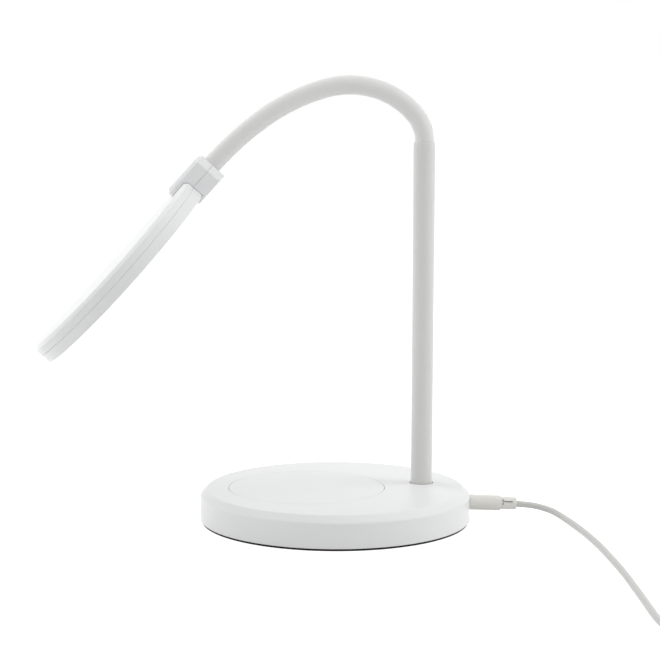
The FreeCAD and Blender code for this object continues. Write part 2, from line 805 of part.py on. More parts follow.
def neck_bow(name, number, radius, gap):
    """A round bar along one arc of the neck, stopping a gap short of the bend points at its ends."""
    length, turn = NECK_ARCS[number]
    start, angle = neck_chain()[number]
    bend = length / math.radians(turn)
    trim = math.degrees(value(gap) / bend)
    centre = start + bend * inward(angle)
    outward = -inward(angle + trim)
    forward = Vector(-math.sin(math.radians(angle + trim)), 0, math.cos(math.radians(angle + trim)))
    bar = bind(doc.addObject("Part::Torus", name), Radius2=radius)
    bar.Radius1 = bend
    bar.Angle3 = turn - 2 * trim
    bar.Placement = Placement(centre, Rotation(outward, forward, outward.cross(forward), "XYZ"))
    return bar


def build_neck():
    """Root ferrule in the post's mouth, then sleeve, core and cable between the bend points."""
    place = Placement(Vector(value("post_x"), value("post_y"), 0), Rotation())
    top = "(neck_start - bend_gap)"
    ferrule = turned("neck_root_ferrule", [
        ("ferrule_bore", top + " - ferrule_length"),
        (POST_BORE + " - ferrule_fit", top + " - ferrule_length"),
        (POST_BORE + " - ferrule_fit", top),
        ("ferrule_bore", top),
    ])
    keep("neck_root_ferrule", ferrule, place)
    core_bore = "cable_radius + cable_room"
    for number in range(len(NECK_ARCS)):
        label = number + 1
        skin = neck_bow(f"sleeve_skin_{label}", number, "neck_radius", "bend_gap")
        hollow = neck_bow(f"sleeve_hollow_{label}", number, "neck_radius - sleeve_wall", "bend_gap / 2")
        keep(f"neck_sleeve_{label}", without(f"neck_sleeve_{label}", skin, hollow))
        spring = neck_bow(f"core_skin_{label}", number, "core_radius", "bend_gap")
        passage = neck_bow(f"core_hollow_{label}", number, core_bore, "bend_gap / 2")
        keep(f"neck_core_{label}", without(f"neck_core_{label}", spring, passage))
        keep(f"neck_cable_{label}", neck_bow(f"neck_cable_{label}", number, "cable_radius", "cable_gap"))


# ---------------------------------------------------------------- head
def head_place():
    """The head's own frame: +X from the disc's centre to the bracket, +Z out of its back."""
    tip, angle = neck_chain()[-1]
    tilt = angle - 90.0
    turn = Rotation(Y_AXIS, -tilt)
    along = turn.multVec(X_AXIS)
    back = turn.multVec(Z_AXIS)
    reach = value("bracket_end + bend_gap")
    centre = tip + along * -reach - back * value("neck_axis_height")
    return Placement(centre, turn)


def slab(name, low, high):
    """A long plate bowed about an axis along Y, between two heights above the head's middle layer."""
    reach = "(head_radius * 1.5)"
    outer = rod(name + "_outer", "head_bend - (" + low + ")", "2 * " + reach, y="-" + reach, z="head_bend",
                along="y")
    inner = rod(name + "_inner", "head_bend - (" + high + ")", "2 * " + reach, y="-" + reach, z="head_bend",
                along="y")
    return without(name, outer, inner)


def bowed(name, radius, low, high):
    """A round disc with the head's bow, between two heights."""
    blank = rod(name + "_blank", radius, "head_radius", z="-head_radius / 2")
    return within(name, blank, slab(name + "_slab", low, high))


def rim_edge(side):
    """Test for the disc's outer edge on its back (side 1) or its front (side -1)."""
    radius = value("head_radius")

    def test(middle, edge):
        on_rim = abs(math.hypot(middle.x, middle.y) - radius) < 0.01
        far_out = side * (middle.z - middle.x ** 2 / (2 * value("head_bend"))) > value("head_half") - 0.05
        return on_rim and far_out and edge.Length > radius
    return test


def bow_height(x):
    """How far the bow lifts a point at x along the head."""
    return x ** 2 / (2 * value("head_bend"))


GUIDE_TOP = "(-head_half + head_skin + diffuser_thickness + 2 * layer_gap + guide_thickness)"
REFLECTOR_TOP = "(" + GUIDE_TOP + " + layer_gap + reflector_thickness)"
PLATE_FRONT = "(" + REFLECTOR_TOP + " + layer_gap)"
PLATE_BACK = "(" + PLATE_FRONT + " + heat_plate_thickness)"
BACK_INSIDE = "(head_half - head_skin)"


def head_wire_hole(name):
    """Bore through the disc's edge for the wires, on the neck's axis."""
    return rod(name, "lead_hole", "head_wall * 4", "head_radius - head_wall * 2.5", "0", "neck_axis_height",
               along="x")


def build_head_shells(place):
    """Back shell with the bevelled edge and its bosses, and the rim with the window."""
    blank = eased("back_bevelled", bowed("back_blank", "head_radius", "0", "head_half"), "Chamfer",
                  "head_bevel", rim_edge(1))
    hollow = bowed("back_hollow", "head_radius - head_wall", "-head_half", BACK_INSIDE)
    bosses = []
    bores = [hollow, head_wire_hole("back_wire_hole")]
    for number, angle in enumerate(HEAD_SCREW_ANGLES, start=1):
        x, y = ring_place("head_screw_ring", angle)
        bosses.append(rod(f"head_boss_{number}", "head_boss_radius", "head_half * 2", x, y, "0"))
        bores.append(rod(f"head_bore_{number}", "head_screw_radius + screw_fit",
                         BACK_INSIDE + " - head_skin / 2 + " + str(bow_height(value(x))), x, y, "0"))
    for number, side in enumerate((-1, 1), start=1):
        bores.append(rod(f"tongue_hole_{number}", "head_screw_radius + screw_gap", "head_half * 2",
                         "tongue_screw_x", str(side * TONGUE_SCREW_Y), "0"))
    columns = within("boss_columns", group("boss_blanks", bosses),
                     slab("boss_slab", PLATE_BACK + " + screw_fit", BACK_INSIDE + " + head_skin / 2"))
    shell = without("back_open", blank, hollow)
    shell = joined("back_bossed", shell, columns)
    keep("head_back", without("head_back", shell, *bores[1:]), place)

    rim = eased("rim_rounded", bowed("rim_blank", "head_radius", "-head_half", "0"), "Fillet",
                "head_round", rim_edge(-1))
    hollow = bowed("rim_hollow", "head_radius - head_wall", "-head_half + head_skin", "head_half")
    window = cone("window_hole", "window_radius + window_flare", "window_radius - window_taper", "window_depth",
                  z="-head_half - window_reach")
    keep("head_rim", without("head_rim", rim, hollow, window, head_wire_hole("rim_wire_hole")), place)


def build_light(place):
    """Diffuser, light guide, reflector, strip of lamps, and the plate that takes their heat."""
    front = "(-head_half + head_skin + layer_gap / 2)"
    diffuser = bowed("diffuser", "head_radius - head_wall - diffuser_gap", front, front + " + diffuser_thickness")
    keep("diffuser", diffuser, place)
    guide_bottom = "(" + GUIDE_TOP + " - guide_thickness)"
    keep("light_guide", bowed("light_guide", "guide_radius", guide_bottom, GUIDE_TOP), place)
    reflector = bowed("reflector_sheet", "reflector_radius", GUIDE_TOP + " + layer_gap", REFLECTOR_TOP)
    keep("reflector_sheet", reflector, place)
    strip = bowed("strip_disc", "strip_radius", guide_bottom, GUIDE_TOP)
    eye = rod("strip_eye", "strip_radius - strip_thickness", "head_radius", z="-head_radius / 2")
    keep("led_strip", without("led_strip", strip, eye), place)
    chips = []
    for number in range(LED_COUNT):
        angle = 360.0 * number / LED_COUNT
        reach = value("led_reach")
        middle = value(GUIDE_TOP + " - guide_thickness / 2") + bow_height(reach * math.cos(math.radians(angle)))
        chip = bind(doc.addObject("Part::Box", f"led_{number + 1}"), Length="led_depth", Width="led_width",
                    Height="led_height")
        turn = Rotation(Z_AXIS, angle)
        corner = Vector(reach, -value("led_width") / 2, middle - value("led_height") / 2)
        chip.Placement = Placement(turn.multVec(corner), turn)
        chips.append(chip)
    keep("led_chips", group("led_chips", chips), place)

    cuts = [box("heat_plate_notch", "heat_notch_depth * 1.25", "heat_notch_width", "head_radius",
                "heat_plate_radius - heat_notch_depth", "-heat_notch_width / 2", "-head_radius / 2")]
    screws = []
    for number, angle in enumerate(HEAD_SCREW_ANGLES, start=1):
        x, y = ring_place("head_screw_ring", angle)
        cuts.append(rod(f"heat_plate_bore_{number}", "head_screw_radius + screw_gap", "head_radius", x, y,
                        "-head_radius / 2"))
        lift = str(bow_height(value(x)))
        seat = PLATE_FRONT + " + " + lift + " - head_screw_sink"
        cap = rod(f"head_screw_cap_{number}", "head_screw_cap", "head_screw_cap_height", x, y,
                  seat + " - head_screw_cap_height")
        shank = rod(f"head_screw_shank_{number}", "head_screw_radius",
                    BACK_INSIDE + " - head_skin / 2 - head_screw_short - " + PLATE_FRONT, x, y, seat)
        screws.append(joined(f"head_screw_{number}", cap, shank))
    disc = bowed("heat_plate_disc", "heat_plate_radius", PLATE_FRONT, PLATE_BACK)
    keep("heat_plate", without("heat_plate", disc, *cuts), place)
    keep("head_screws", group("head_screws", screws), place)

    wires = []
    for number, side in enumerate((-1, 1), start=1):
        wires.append(rod(f"head_wire_{number}", "wire_radius",
                         "bracket_end + bend_gap - cable_gap - strip_radius", "strip_radius",
                         f"{side} * (wire_radius + wire_gap)", "neck_axis_height", along="x"))
    keep("head_leads", group("head_leads", wires), place)


def bracket_plan(start):
    """Outline of the block seen along the head's axis, with its two end corners cut off."""
    half = "bracket_width / 2"
    return [
        (start, "-" + half),
        ("bracket_end - bracket_bevel", "-" + half),
        ("bracket_end", "-" + half + " + bracket_bevel"),
        ("bracket_end", half + " - bracket_bevel"),
        ("bracket_end - bracket_bevel", half),
        (start, half),
    ]


def build_bracket(place):
    """Upper half with the tongue, lower half with the lip, the neck's tip and the screws."""
    start = value("tongue_start")
    half_width = value("bracket_width") / 2
    top = value("bracket_top")
    bottom = value("bracket_bottom")
    tongue = padded("bracket_upper_block", outlines=[bracket_plan("tongue_start")], lift="bracket_seam",
                    height="bracket_top - bracket_seam")
    tongue = eased("tongue_rounded", tongue, "Fillet", "tongue_round",
                   lambda middle, edge: abs(middle.x - start) < 0.01 and abs(abs(middle.y) - half_width) < 0.01)
    tongue = eased("tongue_eased", tongue, "Chamfer", "bracket_edge",
                   lambda middle, edge: abs(middle.z - top) < 0.01)
    lip = padded("bracket_lower_block", outlines=[bracket_plan("lip_start")], lift="bracket_bottom",
                 height="bracket_seam - bracket_bottom")
    lip = eased("lip_eased", lip, "Fillet", "head_round",
                lambda middle, edge: abs(middle.z - bottom) < 0.01)
    room = "head_radius + bracket_gap"
    upper_cuts = [bowed("upper_disc_room", room, "-head_half", "head_half + bracket_gap")]
    lower_cuts = [bowed("lower_disc_room", room, "-head_half - lip_gap", "head_half * 3")]
    for name, cuts in (("tip_bore", upper_cuts), ("tip_bore_low", lower_cuts)):
        cuts.append(rod(name, "tip_radius + ferrule_fit", "tip_length + tip_room + 1",
                        "bracket_end - tip_length - tip_room", "0", "neck_axis_height", along="x"))
    screws = []
    for number, side in enumerate((-1, 1), start=1):
        y = str(side * BRACKET_SCREW_Y)
        x = "clamp_screw_x"
        upper_cuts.append(rod(f"clamp_bore_{number}", "head_screw_radius + screw_fit",
                              "bracket_top - bracket_seam - clamp_bore_roof", x, y, "bracket_seam"))
        lower_cuts.append(rod(f"clamp_hole_{number}", "head_screw_radius + screw_gap",
                              "bracket_top - bracket_bottom", x, y, "bracket_bottom - 1"))
        lower_cuts.append(rod(f"clamp_seat_{number}", "head_screw_cap + screw_gap", "clamp_seat_depth + 1", x, y,
                              "bracket_bottom - 1"))
        cap = rod(f"clamp_cap_{number}", "head_screw_cap", "clamp_cap_height", x, y,
                  "bracket_bottom + clamp_cap_lift")
        shank = rod(f"clamp_shank_{number}", "head_screw_radius",
                    "bracket_top - bracket_bottom - clamp_screw_roof", x, y,
                    "bracket_bottom + clamp_cap_lift")
        screws.append(joined(f"clamp_screw_{number}", cap, shank))
        x = "tongue_screw_x"
        y = str(side * TONGUE_SCREW_Y)
        lift = str(bow_height(value(x)))
        upper_cuts.append(rod(f"tongue_bore_{number}", "head_screw_radius + screw_fit",
                              "bracket_top - tongue_bore_roof", x, y, "0"))
        seat = BACK_INSIDE + " + " + lift + " - tongue_screw_drop"
        cap = rod(f"tongue_cap_{number}", "head_screw_cap", "tongue_cap_height", x, y,
                  seat + " - tongue_cap_height")
        shank = rod(f"tongue_shank_{number}", "head_screw_radius",
                    "bracket_top - tongue_screw_roof - (" + seat + ")", x, y, seat)
        screws.append(joined(f"tongue_screw_{number}", cap, shank))
    keep("bracket_upper", without("bracket_upper", tongue, *upper_cuts), place)
    keep("bracket_lower", without("bracket_lower", lip, *lower_cuts), place)
    keep("bracket_screws", group("bracket_screws", screws), place)
    sleeve = rod("tip_outside", "tip_radius", "tip_length", "bracket_end - tip_length", "0", "neck_axis_height",
                 along="x")
    hollow = rod("tip_inside", "ferrule_bore", "tip_length + 2", "bracket_end - tip_length - 1", "0",
                 "neck_axis_height", along="x")
    keep("neck_tip_ferrule", without("neck_tip_ferrule", sleeve, hollow), place)


# ---------------------------------------------------------------- lead
def build_plug():
    """Barrel, moulded housing and slotted strain relief, along +X out of the socket."""
    face = "(base_radius + plug_gap)"
    barrel = rod("barrel_outside", "barrel_radius", "barrel_length", face + " - barrel_length", "0",
                 "socket_height", along="x")
    eye = rod("barrel_inside", "barrel_radius / 3", "barrel_length - barrel_floor",
              face + " - barrel_length", "0", "socket_height", along="x")
    keep("plug_barrel", without("plug_barrel", barrel, eye))
    outline = [
        ("0", "0"),
        ("plug_radius - plug_edge", "0"),
        ("plug_radius", "plug_edge"),
        ("plug_radius", "plug_length - plug_taper"),
        ("plug_radius - plug_step", "plug_length - plug_step"),
        ("plug_radius - plug_nose", "plug_length"),
        ("0", "plug_length"),
    ]
    place = Placement(Vector(value(face), 0, value("socket_height")), ALONG["x"])
    keep("plug_housing", turned("plug_housing", outline), place)
    start = "(" + face + " + plug_length)"
    tail = cone("relief_tail", "relief_radius", "relief_tip", "relief_length", start, "0", "socket_height",
                along="x")
    slots = []
    for number in range(3):
        low = start + f" + relief_slot_start + {number} * relief_slot_pitch"
        side = -1 if number % 2 else 1
        slots.append(box(f"relief_slot_{number + 1}", "relief_slot_width", "relief_radius * 2", "relief_radius",
                         low, "-relief_radius",
                         f"socket_height + {side} * (relief_radius / 2 + relief_web) - relief_radius / 2"))
    keep("plug_relief", without("plug_relief", tail, *slots))


def build_cord():
    """The lead along the table, the part of it that is wound up, and its tail to the far plug."""
    radius = value("cord_radius")
    for node, route in (("lead_cord", CORD_ROUTE), ("lead_tail", TAIL_ROUTE)):
        tube, length, radii = swept(route, radius)
        print(node, "length", round(length, 1), "radii", [round(r, 1) for r in radii])
        if tube.BoundBox.ZMin < 0:
            raise RuntimeError(node + " goes below the table")
        cord = doc.addObject("Part::Feature", node)
        cord.Shape = tube
        keep(node, cord)
    place = Placement(Vector(WINDING_X, WINDING_Y, 0), Rotation())
    top = "(winding_lift + winding_height)"
    outline = [
        ("winding_eye", "winding_lift + winding_edge"),
        ("winding_eye + winding_edge", "winding_lift"),
        ("winding_radius - winding_edge", "winding_lift"),
        ("winding_radius", "winding_lift + winding_edge"),
        ("winding_radius", top + " - winding_edge"),
        ("winding_radius - winding_edge", top),
        ("winding_eye + winding_edge", top),
        ("winding_eye", top + " - winding_edge"),
    ]
    keep("lead_coil", turned("lead_coil", outline), place)
    build_tie(place)


def build_tie(place):
    """A flat tie round one side of the winding."""
    inner_x = "(sqrt(winding_eye ^ 2 - (tie_width / 2) ^ 2) - tie_gap)"
    inner_length = "(winding_radius + tie_gap - " + inner_x + ")"
    inner_bottom = "(winding_lift - tie_gap)"
    inner_height = "(winding_height + 2 * tie_gap)"
    width = "tie_width"
    outside = box("tie_outside", inner_length + " + 2 * tie_thickness", width,
                  inner_height + " + 2 * tie_thickness", inner_x + " - tie_thickness", "-tie_width / 2",
                  inner_bottom + " - tie_thickness")
    rounded = eased("tie_rounded", outside, "Fillet", "tie_thickness * 2",
                    lambda middle, edge: abs(middle.y) < 0.01 and edge.Length < value(width) + 0.01)
    inside = box("tie_inside", inner_length, width + " + 2", inner_height, inner_x, "-tie_width / 2 - 1",
                 inner_bottom)
    turn = Placement(place.Base, Rotation(Z_AXIS, TIE_ANGLE))
    keep("coil_tie", without("coil_tie", rounded, inside), turn)


def build_usb_plug():
    """Moulded body and metal shell of the plug on the far end, lying beside the winding."""
    last = Vector(*TAIL_ROUTE[-1])
    before = Vector(*TAIL_ROUTE[-2])
    heading = math.degrees(math.atan2(last.y - before.y, last.x - before.x))
    place = Placement(Vector(last.x, last.y, value("usb_axis_height")), Rotation(Z_AXIS, heading))
    body = box("usb_block", "usb_length", "usb_width", "usb_height", "0", "-usb_width / 2", "-usb_height / 2")
    body = eased("usb_rounded", body, "Fillet", "usb_edge", lambda middle, edge: abs(middle.x) > 0.01
                 and abs(middle.x - value("usb_length")) > 0.01)
    body = eased("usb_body", body, "Chamfer", "usb_neck_edge", lambda middle, edge: abs(middle.x) < 0.01)
    keep("usb_body", body, place)
    shell = box("usb_shell_outside", "usb_shell_length", "usb_shell_width", "usb_shell_height", "usb_length",
                "-usb_shell_width / 2", "-usb_shell_height / 2")
    mouth = box("usb_shell_mouth", "usb_shell_length", "usb_shell_width - 2 * usb_shell_wall",
                "usb_shell_height / 2 - usb_shell_wall", "usb_length + usb_shell_floor",
                "-usb_shell_width / 2 + usb_shell_wall", "0")
    keep("usb_shell", without("usb_shell", shell, mouth), place)


# ---------------------------------------------------------------- build, check and write
def check(items):
    """Stop on any object that failed, and on any sub-part that is not a whole solid."""
    for item in items:
        if "Invalid" in item.State or "Error" in item.State:
            raise RuntimeError(item.Name + " failed: " + str(item.State))
    for node, item in nodes.items():
        shape = item.Shape
        if shape.isNull() or not shape.isValid() or not shape.Solids:
            raise RuntimeError(node + " is not a valid solid")


def main():
    """Build every sub-part, check them and write one file each."""
    build_base_shell()
    build_charging_plate()
    build_boards()
    build_touch_spring()
    build_ballast_and_cover()
    build_socket()
    build_base_leads()
    build_post()
    build_neck()
    place = head_place()
    build_head_shells(place)
    build_light(place)
    build_bracket(place)
    build_plug()
    build_cord()
    build_usb_plug()
    doc.recompute()
    check(doc.Objects)
    os.makedirs("parts", exist_ok=True)
    for node, item in nodes.items():
        item.Shape.exportStep(f"parts/{node}.step")
    for number, (point, angle) in enumerate(neck_chain()):
        print("bend", number, [round(c, 3) for c in point], "angle", angle)
    print("head", head_place())
    print(len(nodes), "sub-parts,", sum(len(item.Shape.Solids) for item in nodes.values()), "solids")


main()
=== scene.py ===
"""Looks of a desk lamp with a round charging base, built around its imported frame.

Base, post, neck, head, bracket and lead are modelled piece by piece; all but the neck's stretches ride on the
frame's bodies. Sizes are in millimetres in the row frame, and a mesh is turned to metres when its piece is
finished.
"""
import json
import logging
import math
from collections.abc import Iterable, Sequence
from dataclasses import dataclass, field
from enum import Enum

import bmesh
import bpy
from mathutils import Matrix, Vector


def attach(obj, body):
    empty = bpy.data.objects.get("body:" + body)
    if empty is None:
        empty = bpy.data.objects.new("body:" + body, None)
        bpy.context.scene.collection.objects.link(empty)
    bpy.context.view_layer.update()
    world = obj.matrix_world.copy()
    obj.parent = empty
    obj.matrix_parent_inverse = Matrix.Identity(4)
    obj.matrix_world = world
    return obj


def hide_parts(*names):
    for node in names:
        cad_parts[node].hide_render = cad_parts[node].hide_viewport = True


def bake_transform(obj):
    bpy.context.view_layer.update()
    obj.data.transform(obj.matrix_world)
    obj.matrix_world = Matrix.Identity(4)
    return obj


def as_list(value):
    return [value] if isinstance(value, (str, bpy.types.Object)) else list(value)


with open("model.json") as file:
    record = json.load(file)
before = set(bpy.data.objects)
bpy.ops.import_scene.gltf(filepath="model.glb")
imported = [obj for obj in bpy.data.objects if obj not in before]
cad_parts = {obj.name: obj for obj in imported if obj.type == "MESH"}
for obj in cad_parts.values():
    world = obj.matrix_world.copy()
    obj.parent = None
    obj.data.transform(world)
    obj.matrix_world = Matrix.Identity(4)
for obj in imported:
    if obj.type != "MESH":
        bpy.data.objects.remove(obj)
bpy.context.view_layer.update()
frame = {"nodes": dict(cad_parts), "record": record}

MM = 0.001
ON_AXIS = 1e-6
LEVEL_SLACK = 0.01
WHITE = (1.0, 1.0, 1.0, 1.0)

log = logging.getLogger("lamp")

Corner = tuple[float, float, float]
Point = tuple[float, float, float]
Colour = tuple[float, float, float]
Spot = tuple[float, float]
Solid = bmesh.types.BMesh
Edge = bmesh.types.BMEdge
Vert = bmesh.types.BMVert
Tree = bpy.types.NodeTree
Socket = bpy.types.NodeSocket
Piece = bpy.types.Object
Inputs = bpy.types.NodeInputs


# ---------------------------------------------------------------- shading effects that finishes share
def feed(tree: Tree, socket: Socket, entry: object) -> None:
    """Gives an input another node's output, or a value."""
    if isinstance(entry, Socket):
        tree.links.new(entry, socket)
    else:
        socket.default_value = entry


def add(tree: Tree, kind: str, inputs: dict | None = None, **settings: object) -> bpy.types.Node:
    """Adds one shader node.

    Args:
        tree: The tree that it goes into.
        kind: Blender's name of the node.
        inputs: What each input takes, a value or another node's output, by input name or number.
        settings: The node's own settings.

    Returns:
        The node.
    """
    node = tree.nodes.new(kind)
    for name, setting in settings.items():
        setattr(node, name, setting)
    for name, entry in (inputs or {}).items():
        feed(tree, node.inputs[name], entry)
    return node


def calc(tree: Tree, operation: str, *entries: object, clamp: bool = False) -> Socket:
    """Adds a Math node and gives its output."""
    node = add(tree, "ShaderNodeMath", dict(enumerate(entries)), operation=operation, use_clamp=clamp)
    return node.outputs[0]


def noise(tree: Tree, vector: object, scale: object, detail: float, **more: float) -> Socket:
    """Adds a noise texture, with further inputs by name, and gives its strength."""
    inputs = {"Vector": vector, "Scale": scale, "Detail": detail, **more}
    return add(tree, "ShaderNodeTexNoise", inputs).outputs["Fac"]


def blend_colour(tree: Tree, share: object, first: object, second: object) -> Socket:
    """Adds a colour mix and gives its output."""
    return add(tree, "ShaderNodeMix", {0: share, 6: first, 7: second}, data_type="RGBA").outputs[2]


class Effect:
    """A shading effect kept as one node group and placed in each finish with its own values."""

    name = "effect"
    takes: dict[str, str] = {}
    gives: dict[str, str] = {}

    def group(self) -> Tree:
        """Gives the effect's node group, built the first time that it is asked for."""
        ready = bpy.data.node_groups.get(self.name)
        if ready:
            return ready
        tree = bpy.data.node_groups.new(self.name, "ShaderNodeTree")
        for label, kind in self.takes.items():
            tree.interface.new_socket(label, in_out="INPUT", socket_type="NodeSocket" + kind)
        for label, kind in self.gives.items():
            tree.interface.new_socket(label, in_out="OUTPUT", socket_type="NodeSocket" + kind)
        made = self.wire(tree, add(tree, "NodeGroupInput").outputs)
        outlet = add(tree, "NodeGroupOutput")
        for label, output in made.items():
            tree.links.new(output, outlet.inputs[label])
        return tree

    def wire(self, tree: Tree, given: Inputs) -> dict[str, Socket]:
        """Wires the group.

        Args:
            tree: The group's tree.
            given: The group's inputs by name.

        Returns:
            What each output takes, by name.
        """
        raise NotImplementedError

    def place(self, tree: Tree, **entries: object) -> bpy.types.NodeOutputs:
        """Places the group in a material and gives its outputs."""
        node = add(tree, "ShaderNodeGroup", node_tree=self.group())
        for label, entry in entries.items():
            feed(tree, node.inputs[label.replace("_", " ")], entry)
        return node.outputs


class MouldedGrain(Effect):
    """Fine texture that a mould leaves, as a height."""

    name = "moulded_grain"
    takes = {"Vector": "Vector", "Density": "Float"}
    gives = {"Height": "Float"}
    wide_density = 0.13
    wide_height = 0.6

    def wire(self, tree: Tree, given: Inputs) -> dict[str, Socket]:
        """Lays a fine noise over a wider one."""
        fine = noise(tree, given["Vector"], given["Density"], 2.0, Roughness=0.55)
        wide = noise(tree, given["Vector"], calc(tree, "MULTIPLY", given["Density"], self.wide_density), 1.0)
        return {"Height": calc(tree, "ADD", fine, calc(tree, "MULTIPLY", wide, self.wide_height))}


class HandledTone(Effect):
    """Faint patches in colour and gloss, as on a surface that hands touch."""

    name = "handled_tone"
    takes = {"Vector": "Vector", "Color": "Color", "Tone Shift": "Float", "Gloss": "Float",
             "Gloss Shift": "Float", "Patches": "Float"}
    gives = {"Color": "Color", "Roughness": "Float"}
    smears_per_patch = 7.0

    def wire(self, tree: Tree, given: Inputs) -> dict[str, Socket]:
        """Shifts the tone by wide patches, and the roughness by patches and fine smears."""
        patch = noise(tree, given["Vector"], given["Patches"], 3.0, Roughness=0.5)
        smears = calc(tree, "MULTIPLY", given["Patches"], self.smears_per_patch)
        smear = noise(tree, given["Vector"], smears, 4.0, Roughness=0.65, Distortion=0.6)
        centred = calc(tree, "SUBTRACT", patch, 0.5)
        value = calc(tree, "ADD", calc(tree, "MULTIPLY", centred, given["Tone Shift"]), 1.0)
        tint = add(tree, "ShaderNodeHueSaturation", {"Value": value, "Color": given["Color"]})
        both = calc(tree, "ADD", centred, calc(tree, "SUBTRACT", smear, 0.5))
        gloss = calc(tree, "MULTIPLY_ADD", both, given["Gloss Shift"], given["Gloss"], clamp=True)
        return {"Color": tint.outputs["Color"], "Roughness": gloss}


class EdgeWear(Effect):
    """Mask of the narrow bands along edges, where handling shows first."""

    name = "edge_wear"
    takes = {"Vector": "Vector", "Reach": "Float"}
    gives = {"Mask": "Float"}
    steepness = 6.0
    breaks = 260.0

    def wire(self, tree: Tree, given: Inputs) -> dict[str, Socket]:
        """Marks where a rounded normal leaves the true one, broken up by noise."""
        rounded = add(tree, "ShaderNodeBevel", {"Radius": given["Reach"]}, samples=4)
        true = add(tree, "ShaderNodeNewGeometry")
        same = add(tree, "ShaderNodeVectorMath", {0: rounded.outputs["Normal"], 1: true.outputs["Normal"]},
                   operation="DOT_PRODUCT")
        apart = calc(tree, "SUBTRACT", 1.0, same.outputs["Value"])
        edge = calc(tree, "MULTIPLY", apart, self.steepness, clamp=True)
        broken = noise(tree, given["Vector"], self.breaks, 3.0)
        return {"Mask": calc(tree, "MULTIPLY", edge, broken, clamp=True)}


class SettledDust(Effect):
    """Mask of the thin dust that lies on surfaces facing up."""

    name = "settled_dust"
    takes = {"Vector": "Vector", "Amount": "Float"}
    gives = {"Mask": "Float"}
    clouds = 55.0
    specks = 900.0

    def wire(self, tree: Tree, given: Inputs) -> dict[str, Socket]:
        """Takes what faces up, and thins it with two sizes of noise."""
        facing = add(tree, "ShaderNodeSeparateXYZ", {0: add(tree, "ShaderNodeNewGeometry").outputs["Normal"]})
        up = add(tree, "ShaderNodeMapRange", {"Value": facing.outputs["Z"], "From Min": 0.6, "From Max": 1.0})
        cloud = noise(tree, given["Vector"], self.clouds, 2.0)
        thin = calc(tree, "MULTIPLY", cloud, noise(tree, given["Vector"], self.specks, 1.0))
        laid = calc(tree, "MULTIPLY", thin, up.outputs["Result"])
        return {"Mask": calc(tree, "MULTIPLY", laid, given["Amount"], clamp=True)}


class Windings(Effect):
    """Ridges of turns laid round the upright axis of the given vector."""

    name = "windings"
    takes = {"Vector": "Vector", "Turns": "Float"}
    gives = {"Height": "Float"}

    def wire(self, tree: Tree, given: Inputs) -> dict[str, Socket]:
        """Makes rings of the distance from the axis."""
        flat = add(tree, "ShaderNodeVectorMath", {0: given["Vector"], 1: (1.0, 1.0, 0.0)},
                   operation="MULTIPLY")
        reach = add(tree, "ShaderNodeVectorMath", {0: flat.outputs["Vector"]}, operation="LENGTH")
        turn = calc(tree, "FRACT", calc(tree, "MULTIPLY", reach.outputs["Value"], given["Turns"]))
        return {"Height": calc(tree, "SINE", calc(tree, "MULTIPLY", turn, math.pi))}


class Weave(Effect):
    """Crossing threads of a woven tape."""

    name = "weave"
    takes = {"Vector": "Vector", "Threads": "Float"}
    gives = {"Height": "Float"}

    def wire(self, tree: Tree, given: Inputs) -> dict[str, Socket]:
        """Adds up the waves of threads along three axes."""
        scaled = add(tree, "ShaderNodeVectorMath", {0: given["Vector"], "Scale": given["Threads"]},
                     operation="SCALE")
        axes = add(tree, "ShaderNodeSeparateXYZ", {0: scaled.outputs["Vector"]})
        waves = [calc(tree, "ABSOLUTE", calc(tree, "SINE", axes.outputs[letter])) for letter in "XYZ"]
        return {"Height": calc(tree, "ADD", calc(tree, "MULTIPLY", waves[0], waves[1]), waves[2])}


class Brushing(Effect):
    """Fine straight scratches of sheet and turned metal."""

    name = "brushing"
    takes = {"Vector": "Vector", "Density": "Float"}
    gives = {"Height": "Float"}

    def wire(self, tree: Tree, given: Inputs) -> dict[str, Socket]:
        """Stretches a noise along X."""
        drawn = add(tree, "ShaderNodeMapping", {"Vector": given["Vector"], "Scale": (0.03, 1.0, 1.0)})
        return {"Height": noise(tree, drawn.outputs["Vector"], given["Density"], 3.0, Roughness=0.7)}


class BoardTraces(Effect):
    """Copper lines under a board's lacquer and the tinned pads on it, as masks."""

    name = "board_traces"
    takes = {"Vector": "Vector", "Density": "Float"}
    gives = {"Lines": "Float", "Pads": "Float"}
    line_start = 0.42
    pad_reach = 0.12

    def wire(self, tree: Tree, given: Inputs) -> dict[str, Socket]:
        """Uses cell borders as lines and small cell middles as pads."""
        cells = add(tree, "ShaderNodeTexVoronoi", {"Vector": given["Vector"], "Scale": given["Density"]},
                    feature="F1", distance="CHEBYCHEV")
        lines = calc(tree, "GREATER_THAN", cells.outputs["Distance"], self.line_start)
        pads = calc(tree, "LESS_THAN", cells.outputs["Distance"], self.pad_reach)
        return {"Lines": lines, "Pads": pads}


class Pattern(Enum):
    """What a finish shows beside its grain."""

    NONE = "none"
    WOUND = "wound"
    WOVEN = "woven"
    BRUSHED = "brushed"
    PRINTED = "printed"


GRAIN, TONE, WEAR, DUST = MouldedGrain(), HandledTone(), EdgeWear(), SettledDust()
RELIEFS = {Pattern.WOUND: (Windings(), "Turns"), Pattern.WOVEN: (Weave(), "Threads"),
           Pattern.BRUSHED: (Brushing(), "Density")}
TRACES = BoardTraces()
DUST_COLOUR = (0.74, 0.72, 0.69, 1.0)
TRACE_COLOUR = (0.09, 0.34, 0.17, 1.0)
TINNED = (0.62, 0.6, 0.55, 1.0)
COAT_GLOSS = 0.12
SCATTER_REACH = 1.5


